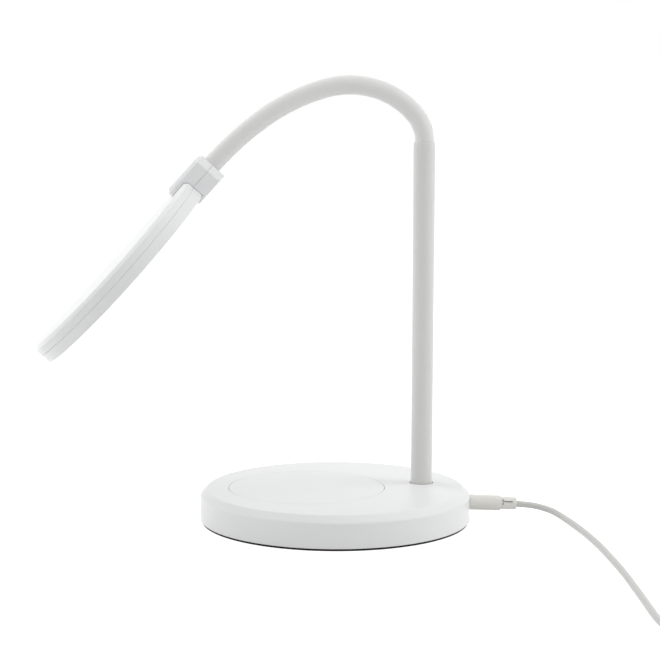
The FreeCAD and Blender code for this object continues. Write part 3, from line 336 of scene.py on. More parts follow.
@dataclass(frozen=True)
class Finish:
    """One surface finish: its colour, gloss, grain, wear and pattern.

    Lengths are in millimetres. The slot is the record's name for the finish; the look is its own name, where
    one slot has two.
    """

    slot: str
    colour: Colour
    gloss: float
    metallic: float = 0.0
    ior: float = 1.46
    grain: float = 0.45
    grain_depth: float = 0.006
    tone_shift: float = 0.03
    gloss_shift: float = 0.08
    patch: float = 38.0
    edge: float = 0.35
    edge_colour: Colour = (0.9, 0.9, 0.9)
    edge_share: float = 0.25
    dust: float = 0.12
    coat: float = 0.0
    subsurface: float = 0.0
    transmission: float = 0.0
    sheen: float = 0.0
    pattern: Pattern = Pattern.NONE
    pitch: float = 1.0
    relief: float = 0.05
    centre: Point = (0.0, 0.0, 0.0)
    look: str = ""

    def material(self) -> bpy.types.Material:
        """Gives the finish as a material, built the first time that it is asked for."""
        name = f"{self.look or self.slot}_finish"
        ready = bpy.data.materials.get(name)
        if ready:
            return ready
        material = bpy.data.materials.new(name)
        material.use_nodes = True
        tree = material.node_tree
        shader = tree.nodes["Principled BSDF"]
        for label, amount in (("Metallic", self.metallic), ("IOR", self.ior), ("Coat Weight", self.coat),
                              ("Coat Roughness", COAT_GLOSS), ("Subsurface Weight", self.subsurface),
                              ("Subsurface Scale", SCATTER_REACH * MM),
                              ("Transmission Weight", self.transmission), ("Sheen Weight", self.sheen)):
            shader.inputs[label].default_value = amount
        spot = add(tree, "ShaderNodeTexCoord").outputs["Object"]
        tone = TONE.place(tree, Vector=spot, Color=(*self.colour, 1.0), Tone_Shift=self.tone_shift,
                          Gloss=self.gloss, Gloss_Shift=self.gloss_shift, Patches=1.0 / (self.patch * MM))
        worn = WEAR.place(tree, Vector=spot, Reach=self.edge * MM)["Mask"]
        dusty = DUST.place(tree, Vector=spot, Amount=self.dust)["Mask"]
        colour = self.printed(tree, spot, tone["Color"])
        share = calc(tree, "MULTIPLY", worn, self.edge_share)
        colour = blend_colour(tree, share, colour, (*self.edge_colour, 1.0))
        colour = blend_colour(tree, dusty, colour, DUST_COLOUR)
        tree.links.new(colour, shader.inputs["Base Color"])
        rubbed = calc(tree, "MULTIPLY_ADD", share, -0.3, tone["Roughness"])
        tree.links.new(calc(tree, "MULTIPLY_ADD", dusty, 0.4, rubbed, clamp=True), shader.inputs["Roughness"])
        height = GRAIN.place(tree, Vector=spot, Density=1.0 / (self.grain * MM))["Height"]
        bump = add(tree, "ShaderNodeBump", {"Height": height, "Distance": self.grain_depth * MM,
                                            "Strength": 1.0})
        normal = self.ridged(tree, spot, bump.outputs["Normal"])
        tree.links.new(normal, shader.inputs["Normal"])
        return material

    def printed(self, tree: Tree, spot: Socket, colour: Socket) -> Socket:
        """Adds a board's lines and pads to the colour, where the finish has them."""
        if self.pattern is not Pattern.PRINTED:
            return colour
        masks = TRACES.place(tree, Vector=spot, Density=1.0 / (self.pitch * MM))
        lined = blend_colour(tree, calc(tree, "MULTIPLY", masks["Lines"], 0.5), colour, TRACE_COLOUR)
        return blend_colour(tree, masks["Pads"], lined, TINNED)

    def ridged(self, tree: Tree, spot: Socket, normal: Socket) -> Socket:
        """Adds the pattern's ridges to the normal, where the finish has them."""
        if self.pattern not in RELIEFS:
            return normal
        effect, count = RELIEFS[self.pattern]
        moved = add(tree, "ShaderNodeMapping", {"Vector": spot, "Location": [-c * MM for c in self.centre]})
        laid = effect.place(tree, **{"Vector": moved.outputs["Vector"], count: 1.0 / (self.pitch * MM)})
        ridge = add(tree, "ShaderNodeBump", {"Height": laid["Height"], "Distance": self.relief * MM,
                                             "Strength": 1.0, "Normal": normal})
        return ridge.outputs["Normal"]


FINISHES = {finish.look or finish.slot: finish for finish in (
    Finish("white_casing", (0.80, 0.805, 0.81), 0.34, grain_depth=0.004, edge_colour=(0.84, 0.84, 0.84)),
    Finish("arm_paint", (0.69, 0.69, 0.672), 0.38, grain=0.6, grain_depth=0.008,
           edge_colour=(0.8, 0.8, 0.79)),
    Finish("arm_sleeve", (0.735, 0.74, 0.728), 0.52, ior=1.41, grain=0.3, grain_depth=0.004, sheen=0.08,
           edge_colour=(0.74, 0.74, 0.73)),
    Finish("steel", (0.56, 0.56, 0.57), 0.34, metallic=1.0, pattern=Pattern.BRUSHED, pitch=0.5, relief=0.008,
           edge_colour=(0.7, 0.7, 0.7)),
    Finish("inner_plastic", (0.7, 0.7, 0.7), 0.48, grain_depth=0.012),
    Finish("pad_rubber", (0.012, 0.012, 0.013), 0.75, ior=1.35, grain=0.5, grain_depth=0.02, dust=0.03,
           edge_colour=(0.03, 0.03, 0.03)),
    Finish("copper", (0.72, 0.3, 0.13), 0.3, metallic=1.0, coat=0.5, pattern=Pattern.WOUND, pitch=0.7,
           relief=0.18, centre=(-15.9, 0.0, 0.0), edge_colour=(0.8, 0.4, 0.2)),
    Finish("ferrite", (0.05, 0.05, 0.055), 0.62, grain=0.25, grain_depth=0.03,
           edge_colour=(0.12, 0.12, 0.12)),
    Finish("board", (0.025, 0.16, 0.065), 0.28, coat=0.4, pattern=Pattern.PRINTED, pitch=1.6,
           edge_colour=(0.3, 0.4, 0.25)),
    Finish("led", (0.85, 0.7, 0.22), 0.35, grain=0.2, grain_depth=0.01),
    Finish("inner_cable", (0.62, 0.62, 0.6), 0.42, grain_depth=0.01),
    Finish("opal", (0.86, 0.86, 0.84), 0.42, ior=1.49, grain=0.25, grain_depth=0.004, subsurface=0.25,
           edge_share=0.1),
    Finish("clear_guide", (0.86, 0.9, 0.91), 0.06, ior=1.49, grain_depth=0.001, transmission=0.9, dust=0.02,
           edge_share=0.1),
    Finish("aluminium", (0.7, 0.7, 0.71), 0.36, metallic=1.0, pattern=Pattern.BRUSHED, pitch=0.4,
           relief=0.01),
    Finish("lead_grey", (0.75, 0.74, 0.70), 0.46, grain=0.35, grain_depth=0.005,
           edge_colour=(0.78, 0.77, 0.74)),
    Finish("lead_grey", (0.58, 0.575, 0.56), 0.42, grain=0.3, grain_depth=0.004, look="lead_jacket",
           edge_colour=(0.62, 0.61, 0.6)),
    Finish("plug_metal", (0.72, 0.71, 0.69), 0.16, metallic=1.0, grain=0.3, grain_depth=0.001,
           edge_colour=(0.8, 0.8, 0.79)),
    Finish("tie_black", (0.022, 0.022, 0.024), 0.85, sheen=0.4, pattern=Pattern.WOVEN, pitch=0.35,
           relief=0.12, edge_colour=(0.07, 0.07, 0.07)),
)}


# ---------------------------------------------------------------- mesh work that the pieces share
def linked(name: str, data: bpy.types.ID) -> Piece:
    """Puts data into the scene as an object."""
    item = bpy.data.objects.new(name, data)
    bpy.context.scene.collection.objects.link(item)
    return item


def only(items: Iterable, kind: type) -> list:
    """The items of one kind, such as a mesh's corners or its edges."""
    return [item for item in items if isinstance(item, kind)]


def edges_along(solid: Solid, axis: int) -> list[Edge]:
    """Edges that run more than 1 mm along an axis, counted from 0."""
    return [edge for edge in solid.edges if abs(edge.verts[0].co[axis] - edge.verts[1].co[axis]) > 1]


def edges_at(edges: Iterable[Edge], axis: int, level: float) -> list[Edge]:
    """Edges that lie in the plane across an axis, counted from 0, at a level."""
    return [edge for edge in edges if all(abs(vert.co[axis] - level) < LEVEL_SLACK for vert in edge.verts)]


def round_corner(outline: Solid, corner: Vert, reach: float) -> None:
    """Rounds one corner of an outline of edges."""
    bmesh.ops.bevel(outline, geom=[corner], offset=reach, offset_type="OFFSET", segments=4, profile=0.5,
                    affect="VERTICES", material=-1)


def turned(outline: Sequence[Corner], steps: int = 160, pitch: float = 0.0) -> Solid:
    """Turns a closed outline about Z into a solid.

    Args:
        outline: Corners as radius, height, and how far the corner's rounding reaches along its sides.
        steps: Steps of the full turn.
        pitch: Longest run that stays whole; 0 leaves every run whole.

    Returns:
        The solid.
    """
    solid = bmesh.new()
    corners = [solid.verts.new((radius, 0.0, height)) for radius, height, _ in outline]
    for start, end in zip(corners, corners[1:] + corners[:1]):
        if max(start.co.x, end.co.x) > ON_AXIS:
            solid.edges.new((start, end))
    for corner, (_, _, ease) in zip(corners, outline):
        if ease:
            round_corner(solid, corner, ease)
    if pitch:
        for run in [edge for edge in solid.edges if edge.calc_length() > pitch]:
            bmesh.ops.subdivide_edges(solid, edges=[run], cuts=int(run.calc_length() / pitch))
    bmesh.ops.spin(solid, geom=solid.verts[:] + solid.edges[:], cent=(0, 0, 0), axis=(0, 0, 1),
                   angle=math.tau, steps=steps, use_merge=True)
    return closed(solid)


def closed(solid: Solid) -> Solid:
    """Merges what touches and points every face outwards."""
    bmesh.ops.remove_doubles(solid, verts=solid.verts, dist=1e-4)
    bmesh.ops.recalc_face_normals(solid, faces=solid.faces)
    return solid


def raised(plan: Sequence[Spot], low: float, high: float) -> Solid:
    """Raises a flat plan of corners from one height to another."""
    solid = bmesh.new()
    floor = solid.faces.new([solid.verts.new((x, y, low)) for x, y in plan])
    risen = bmesh.ops.extrude_face_region(solid, geom=[floor])["geom"]
    bmesh.ops.translate(solid, verts=only(risen, Vert), vec=(0, 0, high - low))
    if floor.is_valid and len(solid.faces) == len(plan) + 1:
        bmesh.ops.contextual_create(solid, geom=floor.edges[:])
    return closed(solid)


def block(low: Point, high: Point) -> Solid:
    """A box between two corners."""
    plan = [(low[0], low[1]), (high[0], low[1]), (high[0], high[1]), (low[0], high[1])]
    return raised(plan, low[2], high[2])


def bar(radius: float, start: Point, end: Point, steps: int = 48) -> Solid:
    """A round bar between two points."""
    solid = bmesh.new()
    run = Vector(end) - Vector(start)
    aim = run.to_track_quat("Z", "Y").to_matrix().to_4x4()
    middle = (Vector(start) + Vector(end)) / 2
    bmesh.ops.create_cone(solid, cap_ends=True, segments=steps, radius1=radius, radius2=radius,
                          depth=run.length, matrix=Matrix.Translation(middle) @ aim)
    return solid


def level_bar(radius: float, start: float, end: float, height: float, steps: int = 48) -> Solid:
    """Makes a round bar along X, over the X axis, at a height."""
    return bar(radius, (start, 0, height), (end, 0, height), steps)


def eased(solid: Solid, edges: Iterable[Edge], reach: float, segments: int = 3) -> Solid:
    """Bevels edges; one segment leaves a chamfer."""
    bmesh.ops.bevel(solid, geom=list(edges), offset=reach, offset_type="OFFSET", segments=segments,
                    profile=0.5, affect="EDGES", clamp_overlap=True, material=-1)
    return solid


def sharp_edges(solid: Solid, least: float = 20.0) -> list[Edge]:
    """Edges whose faces meet at more than an angle in degrees."""
    return [edge for edge in solid.edges
            if len(edge.link_faces) == 2 and math.degrees(edge.calc_face_angle()) > least]


def carved(solid: Solid, *cutters: Solid) -> Solid:
    """Takes cutters out of a solid."""
    shapes = []
    for form in (solid, *cutters):
        mesh = bpy.data.meshes.new("work")
        form.to_mesh(mesh)
        form.free()
        shapes.append(linked("work", mesh))
    for cutter in shapes[1:]:
        cut = shapes[0].modifiers.new("cut", "BOOLEAN")
        cut.operation, cut.solver, cut.object = "DIFFERENCE", "EXACT", cutter
    whole = shapes[0].evaluated_get(bpy.context.evaluated_depsgraph_get())
    result = bmesh.new()
    result.from_mesh(whole.to_mesh())
    whole.to_mesh_clear()
    for shape in shapes:
        bpy.data.meshes.remove(shape.data)
    return result


def merged(*solids: Solid) -> Solid:
    """Puts separate solids into one mesh."""
    whole = bmesh.new()
    for solid in solids:
        mesh = bpy.data.meshes.new("work")
        solid.to_mesh(mesh)
        solid.free()
        whole.from_mesh(mesh)
        bpy.data.meshes.remove(mesh)
    return whole


def finished(name: str, solid: Solid, slot: str, replaces: Sequence[str] = (), body: str = "",
             place: Matrix | None = None, sharp: float = 32.0, weighted: bool = True) -> Piece:
    """Makes a piece of a solid in millimetres.

    Args:
        name: The piece's name.
        solid: Its shape; freed here.
        slot: Its finish.
        replaces: CAD nodes that it stands for.
        body: The body that it rides on, or nothing to leave it unattached.
        place: Its place in the row frame, in millimetres.
        sharp: Angle in degrees past which an edge stays sharp.
        weighted: Whether broad faces set the normals of the narrow ones beside them.

    Returns:
        The piece.
    """
    solid.transform(Matrix.Scale(MM, 4) @ (place or Matrix.Identity(4)))
    mesh = bpy.data.meshes.new(name)
    solid.to_mesh(mesh)
    solid.free()
    mesh.shade_smooth()
    mesh.set_sharp_from_angle(angle=math.radians(sharp))
    mesh.materials.append(FINISHES[slot].material())
    piece = linked(name, mesh)
    if weighted:
        normals = piece.modifiers.new("weighted_normals", "WEIGHTED_NORMAL")
        normals.keep_sharp = True
    if replaces:
        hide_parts(*replaces)
    if body:
        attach(piece, body)
    log.info("%s: %d faces", name, len(mesh.polygons))
    return piece


# ---------------------------------------------------------------- the lamp
@dataclass
class Base:
    """Round casing with a flush charging plate, on a rubber pad."""

    radius: float = 75.0
    height: float = 18.5
    bevel: float = 3.7
    wall: float = 2.2
    roof: float = 3.0
    inner_bevel: float = 2.3
    edge: float = 0.8
    pad_thickness: float = 1.2
    pad_inset: float = 0.8
    pad_groove: float = 0.35
    pad_grooves: tuple[float, ...] = (40.0, 52.0, 64.0)
    plate_x: float = -15.9
    plate_radius: float = 43.25
    plate_gap: float = 0.25
    plate_thickness: float = 1.6
    plate_ledge: float = 4.1
    plate_edge: float = 0.22
    post_spot: Spot = (49.5, 9.0)
    post_hole: float = 6.6
    boss_ring: float = 62.0
    boss_radius: float = 3.5
    boss_bore: float = 1.55
    boss_foot: float = 3.2
    boss_depth: float = 7.2
    socket_height: float = 8.4
    socket_hole: float = 2.5
    turn_steps: int = 256
    hole_steps: int = 64
    boss_steps: int = 32
    bosses: int = 4
    boss_turn: float = 45.0
    groove_mouth: float = 1.0
    groove_floor: float = 0.6
    soft_edge: float = 0.1

    def ring(self, solid: Solid, centre: Spot, path: Sequence[Spot], steps: int) -> tuple[list, list]:
        """Runs a wall round a centre through (radius, height) rings.

        Args:
            solid: The mesh that takes the wall.
            centre: The wall's axis in plan.
            path: Rings from first to last.
            steps: Corners of each ring.

        Returns:
            The edges of the first ring and of the last.
        """
        radius, height = path[0]
        verts = bmesh.ops.create_circle(solid, segments=steps, radius=radius, cap_ends=False)["verts"]
        bmesh.ops.translate(solid, verts=verts, vec=(*centre, height))
        first = list({edge for vert in verts for edge in vert.link_edges})
        last = first
        for (radius, height), (next_radius, next_height) in zip(path, path[1:]):
            made = bmesh.ops.extrude_edge_only(solid, edges=last)["geom"]
            verts, last = only(made, Vert), only(made, Edge)
            about = Matrix.Translation((-centre[0], -centre[1], -height))
            share = next_radius / radius
            bmesh.ops.scale(solid, verts=verts, vec=(share, share, 1.0), space=about)
            bmesh.ops.translate(solid, verts=verts, vec=(0, 0, next_height - height))
            last = [edge for edge in last if all(vert in verts for vert in edge.verts)]
        return first, last

    def rounded_over(self, path: Sequence[Corner]) -> list[Spot]:
        """Rounds the corners of an open (radius, height, reach) path."""
        wire = bmesh.new()
        verts = [wire.verts.new((radius, 0.0, height)) for radius, height, _ in path]
        for pair in zip(verts, verts[1:]):
            wire.edges.new(pair)
        start = verts[0]
        for vert, (_, _, ease) in zip(verts, path):
            if ease:
                round_corner(wire, vert, ease)
        walked, seen = [start], {start}
        while True:
            onward = [edge.other_vert(walked[-1]) for edge in walked[-1].link_edges]
            onward = [vert for vert in onward if vert not in seen]
            if not onward:
                break
            walked.append(onward[0])
            seen.add(onward[0])
        found = [(vert.co.x, vert.co.z) for vert in walked]
        wire.free()
        return found

    def shell(self) -> Piece:
        """Makes the casing: outer wall, top with the plate's seat and the post's hole, and the hollow."""
        solid = bmesh.new()
        inside, ceiling = self.radius - self.wall, self.height - self.roof
        wall = self.rounded_over([
            (inside - self.inner_bevel, ceiling, 0.0), (inside, ceiling - self.inner_bevel, 0.0),
            (inside, self.pad_thickness, 0.2), (self.radius, self.pad_thickness, 0.3),
            (self.radius, self.height - self.bevel, self.edge),
            (self.radius - self.bevel, self.height, self.edge),
            (self.radius - self.bevel - 2 * self.edge, self.height, 0.0)])
        ceiling_edge, top_edge = self.ring(solid, (0.0, 0.0), wall, self.turn_steps)
        seat = self.plate_radius + self.plate_gap
        plate_wall = self.rounded_over([
            (seat + 2 * self.plate_edge, self.height, 0.0), (seat, self.height, self.plate_edge),
            (seat, self.height - self.plate_thickness, 0.0),
            (seat - self.plate_ledge, self.height - self.plate_thickness, 0.2),
            (seat - self.plate_ledge, ceiling, 0.0)])
        plate_top, plate_low = self.ring(solid, (self.plate_x, 0.0), plate_wall, self.turn_steps)
        post_wall = self.rounded_over([
            (self.post_hole + 2 * self.plate_edge, self.height, 0.0),
            (self.post_hole, self.height, self.plate_edge), (self.post_hole, ceiling, 0.0)])
        post_top, post_low = self.ring(solid, self.post_spot, post_wall, self.hole_steps)
        boss_roots = []
        for number in range(self.bosses):
            turn = math.radians(self.boss_turn + 360.0 / self.bosses * number)
            spot = (self.boss_ring * math.cos(turn), self.boss_ring * math.sin(turn))
            root, bore = self.ring(solid, spot, [
                (self.boss_radius, ceiling), (self.boss_radius, self.boss_foot),
                (self.boss_bore, self.boss_foot), (self.boss_bore, self.boss_foot + self.boss_depth)],
                self.boss_steps)
            boss_roots += root
            bmesh.ops.contextual_create(solid, geom=bore)
        bmesh.ops.triangle_fill(solid, edges=top_edge + plate_top + post_top, use_beauty=True)
        underside = ceiling_edge + plate_low + post_low + boss_roots
        bmesh.ops.triangle_fill(solid, edges=underside, use_beauty=True)
        hole = level_bar(self.socket_hole, self.radius - 2 * self.wall, self.radius + self.wall,
                         self.socket_height)
        return finished("casing", carved(closed(solid), hole), "white_casing", ["base_shell"], "root")

    def plate(self) -> Piece:
        """Makes the flush charging plate."""
        low = self.height - self.plate_thickness
        outline = [(0, low, 0), (self.plate_radius, low, 0.2),
                   (self.plate_radius, self.height, self.plate_edge), (0, self.height, 0)]
        solid = turned(outline, self.turn_steps)
        place = Matrix.Translation((self.plate_x, 0, 0))
        return finished("charging_plate", solid, "white_casing", ["charge_plate"], "root", place)

    def pad(self) -> Piece:
        """Makes the rubber pad, with ring grooves in its underside."""
        reach, depth = self.radius - self.pad_inset, self.pad_groove
        outline: list[Corner] = [(0, 0, 0)]
        for ring in self.pad_grooves:
            outline += [(ring - self.groove_mouth, 0, self.soft_edge),
                        (ring - self.groove_floor, depth, self.soft_edge),
                        (ring + self.groove_floor, depth, self.soft_edge),
                        (ring + self.groove_mouth, 0, self.soft_edge)]
        outline += [(reach, 0, self.soft_edge), (reach, self.pad_thickness, 0.2), (0, self.pad_thickness, 0)]
        return finished("rubber_pad", turned(outline, self.turn_steps), "pad_rubber", ["base_pad"], "root")

    def build(self) -> None:
        """Builds the base's pieces."""
        self.shell()
        self.plate()
        self.pad()


@dataclass
class Post:
    """Straight tube with a rounded mouth that the neck stands in."""

    spot: Spot = (49.5, 9.0)
    radius: float = 6.0
    bore: float = 4.8
    bottom: float = 10.4
    top: float = 210.2
    lip: float = 5.48
    mouth: float = 5.3
    mouth_depth: float = 0.8
    round_height: float = 2.5

    def build(self) -> None:
        """Builds the tube."""
        solid = turned([
            (self.bore, self.bottom, 0.1), (self.radius, self.bottom, 0.2),
            (self.radius, self.top - self.round_height, 1.0), (self.radius - 0.1, self.top - 1.1, 0.5),
            (self.lip, self.top, 0.15), (self.mouth, self.top, 0.05),
            (self.mouth, self.top - self.mouth_depth, 0), (self.bore, self.top - self.mouth_depth, 0)], 96)
        place = Matrix.Translation((*self.spot, 0))
        finished("post_tube", solid, "arm_paint", ["post"], "root", place)


@dataclass
class Neck:
    """Soft sleeve over the flexible tube, cut half way along each arc into stretches.

    Each arc is its length and its turn in degrees, from the post to the bracket. A stretch in far_end_first
    puts the body nearer the bracket first in its pair of bodies, though nothing here reads the pair: in the
    other order it came off the neck at one pose, where the pivot of its bend was lost to rounding.
    """

    arcs: tuple[Spot, ...] = ((15.5, 40.0), (23.0, 29.5), (32.0, 36.5), (38.0, 20.0), (36.4, 11.5))
    root: Point = (49.5, 9.0, 210.5)
    radius: float = 5.25
    bore: float = 4.5
    sunk: float = 0.9
    end_run: float = 2.2
    step: float = 0.9
    sides: int = 48
    links: tuple[str, ...] = ("neck_root", "neck_link_1", "neck_link_2", "neck_link_3", "neck_link_4",
                              "neck_link_5", "head")
    far_end_first: tuple[int, ...] = (2,)

    def heading(self, degrees: float) -> Vector:
        """Direction of the neck where it leans by an angle from upright."""
        return Vector((-math.sin(math.radians(degrees)), 0, math.cos(math.radians(degrees))))

    def inward(self, degrees: float) -> Vector:
        """Direction to the inside of the bend there."""
        return Vector((-math.cos(math.radians(degrees)), 0, -math.sin(math.radians(degrees))))

    def along(self, arc: int, share: float) -> tuple[Vector, float]:
        """Point and lean at a share of the way along an arc."""
        point, lean = Vector(self.root), 0.0
        for number, (length, turn) in enumerate(self.arcs[:arc + 1]):
            part = share if number == arc else 1.0
            bend = length / math.radians(turn)
            centre = point + bend * self.inward(lean)
            lean += turn * part
            point = centre - bend * self.inward(lean)
        return point, lean

    def tip(self) -> tuple[Vector, float]:
        """Point and lean at the bracket's end of the neck."""
        return self.along(len(self.arcs) - 1, 1.0)

    def loop(self, solid: Solid, radius: float, point: Vector, lean: float) -> list:
        """Adds one ring across the neck and gives its corners and edges."""
        aim = self.heading(lean).to_track_quat("Z", "Y").to_matrix().to_4x4()
        verts = bmesh.ops.create_circle(solid, segments=self.sides, radius=radius, cap_ends=False,
                                        matrix=Matrix.Translation(point) @ aim)["verts"]
        return verts + list({edge for vert in verts for edge in vert.link_edges})

    def pushed(self, solid: Solid, geometry: list, move: Vector) -> list:
        """Draws a ring straight on and gives its far end."""
        return bmesh.ops.spin(solid, geom=geometry, cent=(0, 0, 0), axis=(0, 0, 1), dvec=move, angle=0.0,
                              steps=1)["geom_last"]

    def bent(self, solid: Solid, geometry: list, arc: int, start: float, end: float) -> list:
        """Draws a ring round part of an arc and gives its far end."""
        length, turn = self.arcs[arc]
        point, lean = self.along(arc, start)
        centre = point + length / math.radians(turn) * self.inward(lean)
        steps = max(4, round(length * (end - start) / self.step))
        return bmesh.ops.spin(solid, geom=geometry, cent=centre, axis=(0, -1, 0),
                              angle=math.radians(turn * (end - start)), steps=steps)["geom_last"]

    def part(self, number: int) -> Piece:
        """Makes the stretch of sleeve round one bend point."""
        solid = bmesh.new()
        last_arc = len(self.arcs) - 1
        starts, ends = [], []
        for radius in (self.radius, self.bore):
            if number == 0:
                point = Vector(self.root) - self.sunk * self.heading(0.0)
                ring = self.loop(solid, radius, point, 0.0)
                starts += only(ring, Edge)
                ring = self.pushed(solid, ring, self.sunk * self.heading(0.0))
            else:
                ring = self.loop(solid, radius, *self.along(number - 1, 0.5))
                starts += only(ring, Edge)
                ring = self.bent(solid, ring, number - 1, 0.5, 1.0)
            if number <= last_arc:
                ring = self.bent(solid, ring, number, 0.0, 0.5)
            else:
                ring = self.pushed(solid, ring, self.end_run * self.heading(self.tip()[1]))
            ends += only(ring, Edge)
        bmesh.ops.bridge_loops(solid, edges=starts)
        bmesh.ops.bridge_loops(solid, edges=ends)
        piece = finished(f"sleeve_{number}", closed(solid), "arm_sleeve", sharp=50.0, weighted=False)
        first = Vector(self.root) if number == 0 else self.along(number - 1, 0.5)[0]
        final = self.tip()[0] if number > last_arc else self.along(number, 0.5)[0]
        near, far = (self.links[number], first), (self.links[number + 1], final)
        if number in self.far_end_first:
            near, far = far, near
        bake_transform(piece)
        return piece

    def build(self) -> None:
        """Builds the sleeve's stretches; each stands for the CAD sleeve that it begins on."""
        for number in range(len(self.arcs) + 1):
            piece = self.part(number)
            if number < len(self.arcs):
                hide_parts(f"neck_sleeve_{number + 1}")


@dataclass
class Head:
    """Flat round head, slightly bowed along its length, with its light face and the bracket that carries it.

    Its own frame has +X from the disc's centre to the bracket and +Z out of its back.
    """

    neck: Neck
    radius: float = 63.0
    half: float = 6.05
    bow: float = 1.62
    bevel: float = 2.0
    front_round: float = 0.8
    wall: float = 2.2
    skin: float = 1.8
    seam: float = 0.22
    seam_gap: float = 0.02
    edge: float = 0.35
    window_front: float = 52.07
    window_back: float = 50.87
    diffuser_radius: float = 60.4
    diffuser_front: float = -4.175
    diffuser_thickness: float = 2.0
    pitch: float = 3.0
    steps: int = 192
    wire_hole: float = 2.0
    axis_height: float = 2.6
    block_end: float = 77.5
    block_gap: float = 1.1
    block_width: float = 25.0
    block_top: float = 11.4
    block_seam: float = 2.3
    block_bottom: float = -6.3
    block_bevel: float = 4.0
    block_edge: float = 1.9
    block_round: float = 0.8
    tongue_start: float = 50.0
    tongue_round: float = 5.0
    lip_start: float = 57.0
    room: float = 0.15
    small_edge: float = 0.22
    tip_bore: float = 4.45
    tip_depth: float = 15.0
    sleeve_hole: float = 5.4
    sleeve_depth: float = 1.5
    clamp_x: float = 70.0
    clamp_y: float = 8.2
    tongue_screw_x: float = 55.5
    tongue_screw_y: float = 6.5
    screw_radius: float = 1.1
    screw_cap: float = 1.9
    seat_radius: float = 2.1
    seat_height: float = -5.1
    cap_height: float = 1.0
    cross_reach: float = 1.1
    cross_half: float = 0.22
    cross_depth: float = 0.6
    clamp_short: float = 2.5
    tongue_short: float = 2.6
    tongue_seat_drop: float = 0.95
    place: Matrix = field(init=False)

    def __post_init__(self) -> None:
        """Works out where the neck's tip puts the head."""
        tip, lean = self.neck.tip()
        turn = Matrix.Rotation(math.radians(90.0 - lean), 4, "Y")
        reach = Vector((self.block_end + self.block_gap, 0, self.axis_height))
        self.place = Matrix.Translation(tip - turn.to_3x3() @ reach) @ turn

    def bowed(self, solid: Solid) -> Solid:
        """Gives a flat disc the head's bow."""
        for vert in solid.verts:
            vert.co.z += self.bow * (vert.co.x / self.radius) ** 2
        return solid

    def back(self) -> None:
        """Makes the back shell."""
        inside, ceiling = self.radius - self.wall, self.half - self.skin
        solid = turned([
            (0, self.half, 0), (self.radius - self.bevel, self.half, self.edge),
            (self.radius, self.half - self.bevel, self.edge), (self.radius, self.seam, 0.05),
            (self.radius - self.seam, self.seam_gap, 0), (inside, self.seam_gap, 0), (inside, ceiling, 0.4),
            (0, ceiling, 0)], self.steps, self.pitch)
        hole = level_bar(self.wire_hole, self.radius - 3 * self.wall, self.radius + self.wall,
                         self.axis_height)
        cover = carved(self.bowed(solid), hole)
        finished("head_cover", cover, "white_casing", ["head_back"], "head", self.place)

    def rim(self) -> None:
        """Makes the front shell round the light's window."""
        inside, floor = self.radius - self.wall, -self.half + self.skin
        solid = turned([
            (self.radius - self.seam, -self.seam_gap, 0), (self.radius, -self.seam, 0.05),
            (self.radius, -self.half, self.front_round), (self.window_front, -self.half, 0.3),
            (self.window_back, floor, 0.15), (inside, floor, 0.2), (inside, -self.seam_gap, 0)],
            self.steps, self.pitch)
        finished("head_front", self.bowed(solid), "white_casing", ["head_rim"], "head", self.place)

    def light_face(self) -> None:
        """Makes the opal disc behind the window."""
        low, high = self.diffuser_front, self.diffuser_front + self.diffuser_thickness
        solid = turned([(0, low, 0), (self.diffuser_radius, low, 0.2), (self.diffuser_radius, high, 0.2),
                        (0, high, 0)], self.steps, self.pitch)
        finished("opal_disc", self.bowed(solid), "opal", ["diffuser"], "head", self.place)

    def disc_room(self, low: float, high: float, bevel: float) -> Solid:
        """The room that the disc takes in the bracket."""
        reach = self.radius + self.room
        solid = turned([(0, low, 0), (reach, low, 0), (reach, high - bevel, 0), (reach - bevel, high, 0),
                        (0, high, 0)], self.steps, self.pitch)
        return self.bowed(solid)

    def half_block(self, start: float, low: float, high: float) -> Solid:
        """One half of the bracket before it is cut."""
        wide, end, cut = self.block_width / 2, self.block_end, self.block_bevel
        plan = [(start, -wide), (end - cut, -wide), (end, cut - wide), (end, wide - cut), (end - cut, wide),
                (start, wide)]
        return raised(plan, low, high)

    def neck_cuts(self) -> tuple[Solid, Solid]:
        """Bores for the neck's tip and for the end of its sleeve."""
        end, height = self.block_end, self.axis_height
        return (level_bar(self.tip_bore, end - self.tip_depth, end + 1, height, 64),
                level_bar(self.sleeve_hole, end - self.sleeve_depth, end + 1, height, 96))

    def bracket(self) -> None:
        """Makes the bracket's upper half with its tongue, its lower half with its lip, and the screws."""
        upper = self.half_block(self.tongue_start, self.block_seam + self.seam_gap, self.block_top)
        eased(upper, edges_at(edges_along(upper, 2), 0, self.tongue_start), self.tongue_round, 8)
        eased(upper, edges_at(upper.edges, 2, self.block_top), self.block_edge, 1)
        eased(upper, sharp_edges(upper), self.small_edge, 2)
        disc = self.disc_room(-self.half, self.half + self.room, self.bevel)
        upper = carved(upper, disc, *self.neck_cuts())
        finished("bracket_top", upper, "white_casing", ["bracket_upper"], "head", self.place)

        lower = self.half_block(self.lip_start, self.block_bottom, self.block_seam - self.seam_gap)
        eased(lower, edges_at(lower.edges, 2, self.block_bottom), self.block_round, 4)
        eased(lower, sharp_edges(lower, 40.0), self.small_edge, 2)
        seats = [bar(self.seat_radius, (self.clamp_x, side * self.clamp_y, self.block_bottom - 1),
                     (self.clamp_x, side * self.clamp_y, self.seat_height)) for side in (-1, 1)]
        disc = self.disc_room(-self.half - self.room, 3 * self.half, self.bevel)
        lower = carved(lower, disc, *self.neck_cuts(), *seats)
        finished("bracket_foot", lower, "white_casing", ["bracket_lower"], "head", self.place)

